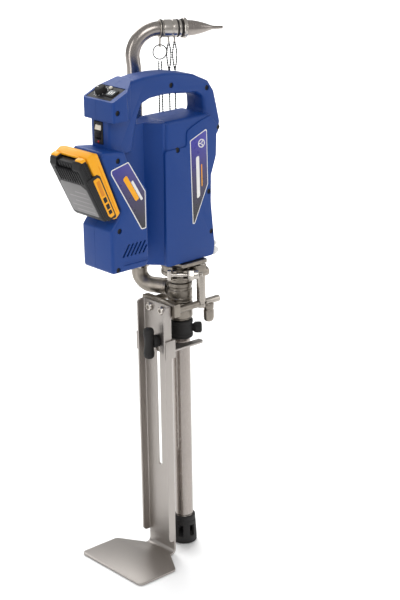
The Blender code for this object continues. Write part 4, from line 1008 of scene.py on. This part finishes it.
def make_spout():
    """Riser and spout in one bent tube, with the ring's band, the coupler and the collar on it."""
    space = spout_frame()
    points = [(TUBE_X, TUBE_Y, z) for z in (442, 520, 600, 680, 740)]
    for step in range(33):
        angle = radians(90 * step / 32)
        points.append(tuple(space @ Vector((TUBE_BEND - TUBE_BEND * cos(angle), 0,
            TUBE_BEND * sin(angle) - TUBE_BEND))))
    points.append(tuple(space @ Vector((78, 0, 0))))
    swept("riser_pipe", points, TUBE_R, ("tube_steel", "spout", "polished_steel", "riser_tube"), 16)
    bore = TUBE_R + GAP
    grip = [(bore, 0), (bore, 4.8), (12.6, 4.8), (13.2, 4.2), (13.2, 0.6), (12.6, 0)]
    lathe("grip_band", grip, *map(on_spout, BAND),
        ("turned_steel", "spout", "black_rubber", "grip_ring"), 64, 0.3, True)
    bead = [(12.9, 0), (12.9, 2.2), (13.6, 1.7), (13.6, 0.5)]
    lathe("grip_bead", bead, on_spout(39.4), on_spout(42), ("soft_black", "spout"), 64, 0.2, True)
    tab_space = Matrix.Translation(on_spout(RING_AT)) @ spun(90 - SPOUT_TURN, "Z")
    outline = [(-5, -12), (5, -12), (3.5, -20), (3.5, -27), (-3.5, -27), (-3.5, -20)]
    tag = slab(rounded(outline, 1.6, 4), -0.8, 0.8, "XZ", tab_space, 0.25, name="ring_tag")
    cut(tag, [rod(tab_space @ Vector((0, -5, -23.4)), tab_space @ Vector((0, 5, -23.4)), 2, 24)])
    dress(tag, ("turned_steel", "spout", "black_rubber"))
    body = [(bore, 29), (11.6, 29), (12, 28.6), (12, 26.8), (12.6, 26.4), (12.6, 23.3), (12, 23),
        (12, 20.9), (12.6, 20.5), (13, 20), (13, 14.4), (12.2, 13.8), (12.2, 12.6), (13, 12),
        (13, 0.8), (12.4, 0), (bore, 0)]
    lathe("quick_sleeve", body, *map(on_spout, SLEEVE),
        ("bright_steel", "spout", "polished_steel", "coupler_sleeve"), 120, 0.2, True,
        knurl(0.35, 1.2, 11.6, 3, 1))
    for index, place_at in enumerate(HOOKS_AT):
        top = on_spout(place_at)
        peg = [(0, 0), (1.5, 0), (1.5, 5.6), (1.9, 6.2), (1.9, 7.2), (1.2, 7.5), (0, 7.5)]
        lathe("chain_peg_%d" % (index + 1), peg, top - Vector((0, 0, 12.5)),
            top - Vector((0, 0, 20)), ("bright_steel", "spout"), 24, 0.2)
    for name, low, high in (("rear", 64.5, 66.4), ("front", 70.8, 72.3)):
        width = high - low
        seal = [(12.3, 0), (12.3, width), (12.9, width), (13.5, width * 0.66),
            (13.5, width * 0.34), (12.9, 0)]
        lathe("sleeve_seal_" + name, seal, on_spout(low), on_spout(high),
            ("soft_black", "spout", "black_rubber", "coupler_seal_" + name), 64, 0.3, True)
    collar = [(12.6, 6.2), (14.2, 5.6), (15.2, 4.8), (15.2, 1.2), (14.4, 0.3), (13, 0),
        (bore, 0), (bore, 6.2)]
    lathe("spout_collar", collar, *map(on_spout, COLLAR),
        ("bright_steel", "collar", "polished_steel", "nozzle_collar"), 96, 0.3, True,
        knurl(0.25, 1.4, 4.6, 4, 1))
    make_nozzle()


def make_nozzle():
    """Long hollow taper that flares into the collar."""
    outside = [(1.9, 55), (2.3, 54.6), (2.8, 40.5)]
    for step in range(15):
        t = step / 14
        outside.append((3.2 + 8.4 * sin(t * pi / 2), 38.5 - 38.5 * t))
    inside = [(9.6, 0), (8.6, 10), (2, 33), (1.2, 55)]
    work = lathe_mesh(outside + inside, on_spout(NOZZLE_FOOT), on_spout(90), 64, True)
    collect("tapered_nozzle", work, ("tube_steel", "tip", "polished_steel", "nozzle"))


# ---------------------------------------------------------------- chains
CHAIN_R = 1.4
BALL_PITCH = 3.6
RINGS_PER_BALL = 6
HOOK_DROP, LOOP_DROP, LOOP_BOW = 20.6, 40, 3.1


def smooth_path(knots, spacing):
    """Even steps along a Catmull-Rom curve through the knots, which must be evenly spaced."""
    knots = [Vector(knot) for knot in knots]
    ends = [2 * knots[0] - knots[1]] + knots + [2 * knots[-1] - knots[-2]]
    dense = []
    for index in range(len(knots) - 1):
        a, b, c, d = ends[index:index + 4]
        for step in range(24):
            t = step / 24
            dense.append(0.5 * (2 * b + (c - a) * t + (2 * a - 5 * b + 4 * c - d) * t ** 2
                + (3 * b - a - 3 * c + d) * t ** 3))
    dense.append(knots[-1])
    total = sum((q - p).length for p, q in zip(dense, dense[1:]))
    count = max(2, round(total / spacing))
    result = [dense[0]]
    travelled = 0
    for p, q in zip(dense, dense[1:]):
        length = (q - p).length
        while length and len(result) < count and travelled + length >= total * len(result) / count:
            need = total * len(result) / count - travelled
            result.append(p.lerp(q, need / length))
        travelled += length
    result.append(dense[-1])
    return result


def mirrored(falls):
    """The way down of (offset, drop) and the same way up on the other side."""
    return falls + [(-out, drop) for out, drop in falls[-2::-1]]


def ring_chain_knots():
    """Down from the key ring behind the housing, round a narrow bend and up again."""
    hang = on_spout(RING_AT)
    top = hang.z - RING_EYE - 2 * RING_R - 2.8
    falls = [(-2.4, 0), (-3, 30), (-3.2, 70), (-4.4, 110), (-6.5, 134), (-5.4, 144.6), (0, 149.6)]
    return [(hang.x + out, hang.y, top - drop) for out, drop in mirrored(falls)]


def hook_chain_knots():
    """From the first peg's loop down behind the housing and up to the second peg's loop."""
    first, last = on_spout(HOOKS_AT[0]), on_spout(HOOKS_AT[1])
    top = first.z - HOOK_DROP
    step, middle = (last - first) * 0.5, (first + last) * 0.5
    falls = [(-1, 52), (-1, 65), (-1, 79), (-1, 94), (-1, 108), (-1.03, 120), (-1.15, 130),
        (-1.33, 140), (-1.38, 149), (-1, 154.3), (0, 156.4)]
    knots = loop_knots(first, top, 1)
    knots += [(middle.x + step.x * share, middle.y + step.y * share, top - drop)
        for share, drop in mirrored(falls)]
    knots += loop_knots(last, top, 1)[::-1]
    return knots


def loop_knots(peg, top, way):
    """One side of the long loop that each chain end makes round its peg."""
    heading = (on_spout(1) - on_spout(0)) * way * LOOP_BOW
    sides = [(0.2, 0), (0.75, 0.22), (1, 0.45), (0.72, 0.72), (0.1, 1)]
    return [(peg.x + heading.x * out, peg.y + heading.y * out, top - LOOP_DROP * down)
        for out, down in sides]


def bead_string(name, route, body, slot=None, node=None):
    """Balls on a thin link, drawn as one string: six rings of the route to a ball."""
    work = bmesh.new()
    rings = []
    for index, spot in enumerate(route):
        reach = (CHAIN_R, 1.28, 0.9, 0.62, 0.9, 1.28)[index % RINGS_PER_BALL]
        heading = (route[min(len(route) - 1, index + 1)] - route[max(0, index - 1)]).normalized()
        turn = heading.to_track_quat("Z", "Y")
        ring = []
        for k in range(10):
            angle = 2 * pi * k / 10
            edge = spot + turn @ Vector((reach * cos(angle), reach * sin(angle), 0))
            ring.append(work.verts.new(at(*edge)))
        rings.append(ring)
    return collect(name, closed_off(work, rings), ("chain_nickel", body, slot, node), 60)


def ball_chain(name, knots, body, node):
    """A bead chain along the knots."""
    route = smooth_path(knots, BALL_PITCH / RINGS_PER_BALL)
    made = bead_string(name, route, body, "polished_steel", node)


def make_split_ring():
    """The key ring that hangs from the tag under the spout."""
    centre = on_spout(RING_AT) - Vector((0, 0, RING_EYE + RING_R))
    facing = Vector((sin(radians(SPOUT_TURN)), cos(radians(SPOUT_TURN)), 0))
    section = []
    for step in range(12):
        angle = -2 * pi * step / 12
        section.append((RING_R + 1 * cos(angle) * 0.92, 1 * sin(angle)))
    work = lathe_mesh(section, centre, centre + facing, 72, True)
    collect("key_ring", work, ("chain_nickel", "ring", "polished_steel", "split_ring"))


# ---------------------------------------------------------------- CAD pieces, stage and camera
NODE_LOOKS = {"housing_screw_1": "switch_black", "housing_screw_2": "switch_black",
    "housing_screw_3": "switch_black", "housing_screw_4": "switch_black",
    "control_board": "board_green", "battery_rail": "switch_black", "motor_can": "tube_steel",
    "drive_belt": "soft_black", "bearing_carrier": "machined_alloy", "clamp_nut": "bright_steel",
    "motor_shaft": "bright_steel", "crankshaft": "turned_steel", "connecting_rod": "cast_steel",
    "piston_rod": "cast_steel", "wrist_pin": "bright_steel", "inlet_ball": "bright_steel"}


def dress_nodes():
    """Puts this script's materials on the pieces that come from the CAD as they are."""
    for name, look in NODE_LOOKS.items():
        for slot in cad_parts[name].material_slots:
            slot.material = materials[look].made


CAMERA_TURN = (41.5, 19, 0.85)
CAMERA_AT = (-1.3725, -1.7067, 1.1705)


def make_camera():
    """A long lens that looks down along the photo's direction, rolled a little."""
    azimuth, dip, roll = (radians(angle) for angle in CAMERA_TURN)
    right = Vector((cos(azimuth), -sin(azimuth), 0))
    level = Vector((sin(azimuth), cos(azimuth), 0))
    ahead = level * cos(dip) - Vector((0, 0, sin(dip)))
    above = right.cross(ahead)
    across = right * cos(roll) - above * sin(roll)
    up = right * sin(roll) + above * cos(roll)
    data = bpy.data.cameras.new("view")
    data.lens = 96
    data.sensor_width = 36
    data.clip_end = 50
    camera = placed("view", data)
    turn = Matrix((across, up, -ahead)).transposed().to_4x4()
    camera.matrix_world = Matrix.Translation(CAMERA_AT) @ turn
    bpy.context.scene.camera = camera


def make_stage():
    """A pale floor just under the foot plate."""
    work = bmesh.new()
    side, level = 9, -0.0006
    work.faces.new([work.verts.new((x, y, level)) for x, y in rect(-side, -side, side, side)])
    floor = loose(work, "studio_floor")
    look = Look("floor_paper", 0.75)
    look.colour(look.noise(1.2, 3), [(0.3, (0.90, 0.90, 0.90)), (0.7, (0.94, 0.94, 0.94))])
    floor.data.materials.append(look.made)


def area_light(name, place_at, aim, size, power, glossy=True):
    data = bpy.data.lights.new(name, "AREA")
    data.shape = "RECTANGLE"
    data.size, data.size_y = size
    data.energy = power
    light = placed(name, data)
    light.visible_glossy = glossy
    turn = (Vector(aim) - Vector(place_at)).to_track_quat("-Z", "Y").to_matrix().to_4x4()
    light.matrix_world = Matrix.Translation(place_at) @ turn


def make_lights():
    world = bpy.context.scene.world or bpy.data.worlds.new("studio")
    bpy.context.scene.world = world
    world.use_nodes = True
    shade_node = world.node_tree.nodes["Background"]
    shade_node.inputs["Color"].default_value = (1, 1, 1, 1)
    shade_node.inputs["Strength"].default_value = 0.50
    bpy.context.scene.view_settings.view_transform = "Standard"
    middle = (0.03, 0, 0.45)
    area_light("key_light", (-1, -1.9, 2.3), middle, (1.3, 1.3), 20)
    area_light("fill_light", (1.9, -1.5, 1.2), middle, (1, 1.8), 9)
    area_light("left_strip", (-2.2, 0.1, 0.9), middle, (0.5, 2), 11)
    area_light("rim_light", (0.6, 2, 1.9), middle, (1.4, 1), 14)
    area_light("floor_wash", (1.8, 2.2, 3), (1.9, 2.4, 0), (3, 3), 120, False)
    area_light("far_wash", (4.4, 5.2, 4.6), (4.6, 5.4, 0), (5, 5), 420, False)


def main():
    make_camera()
    make_looks()
    ball_chain("ring_ball_chain", ring_chain_knots(), "ring", "ring_chain")
    for index, place_at in enumerate(HOOKS_AT):
        side = loop_knots(on_spout(place_at), on_spout(HOOKS_AT[0]).z - HOOK_DROP, -1)
        route = smooth_path(side, BALL_PITCH / RINGS_PER_BALL)
        bead_string("hook_loop_%d" % (index + 1), route, "spout")
    ball_chain("hook_ball_chain", hook_chain_knots(), "spout", "hook_chain")
    dress_nodes()
    make_half("right")
    make_half("left")
    make_screw_pockets()
    make_side_plug()
    make_labels()
    make_controls()
    make_rocker()
    make_battery()
    make_stand()
    make_hook_and_knob()
    make_supports()
    make_column()
    make_clamp()
    make_outlet()
    make_spout()
    make_split_ring()
    make_stage()
    make_lights()


main()
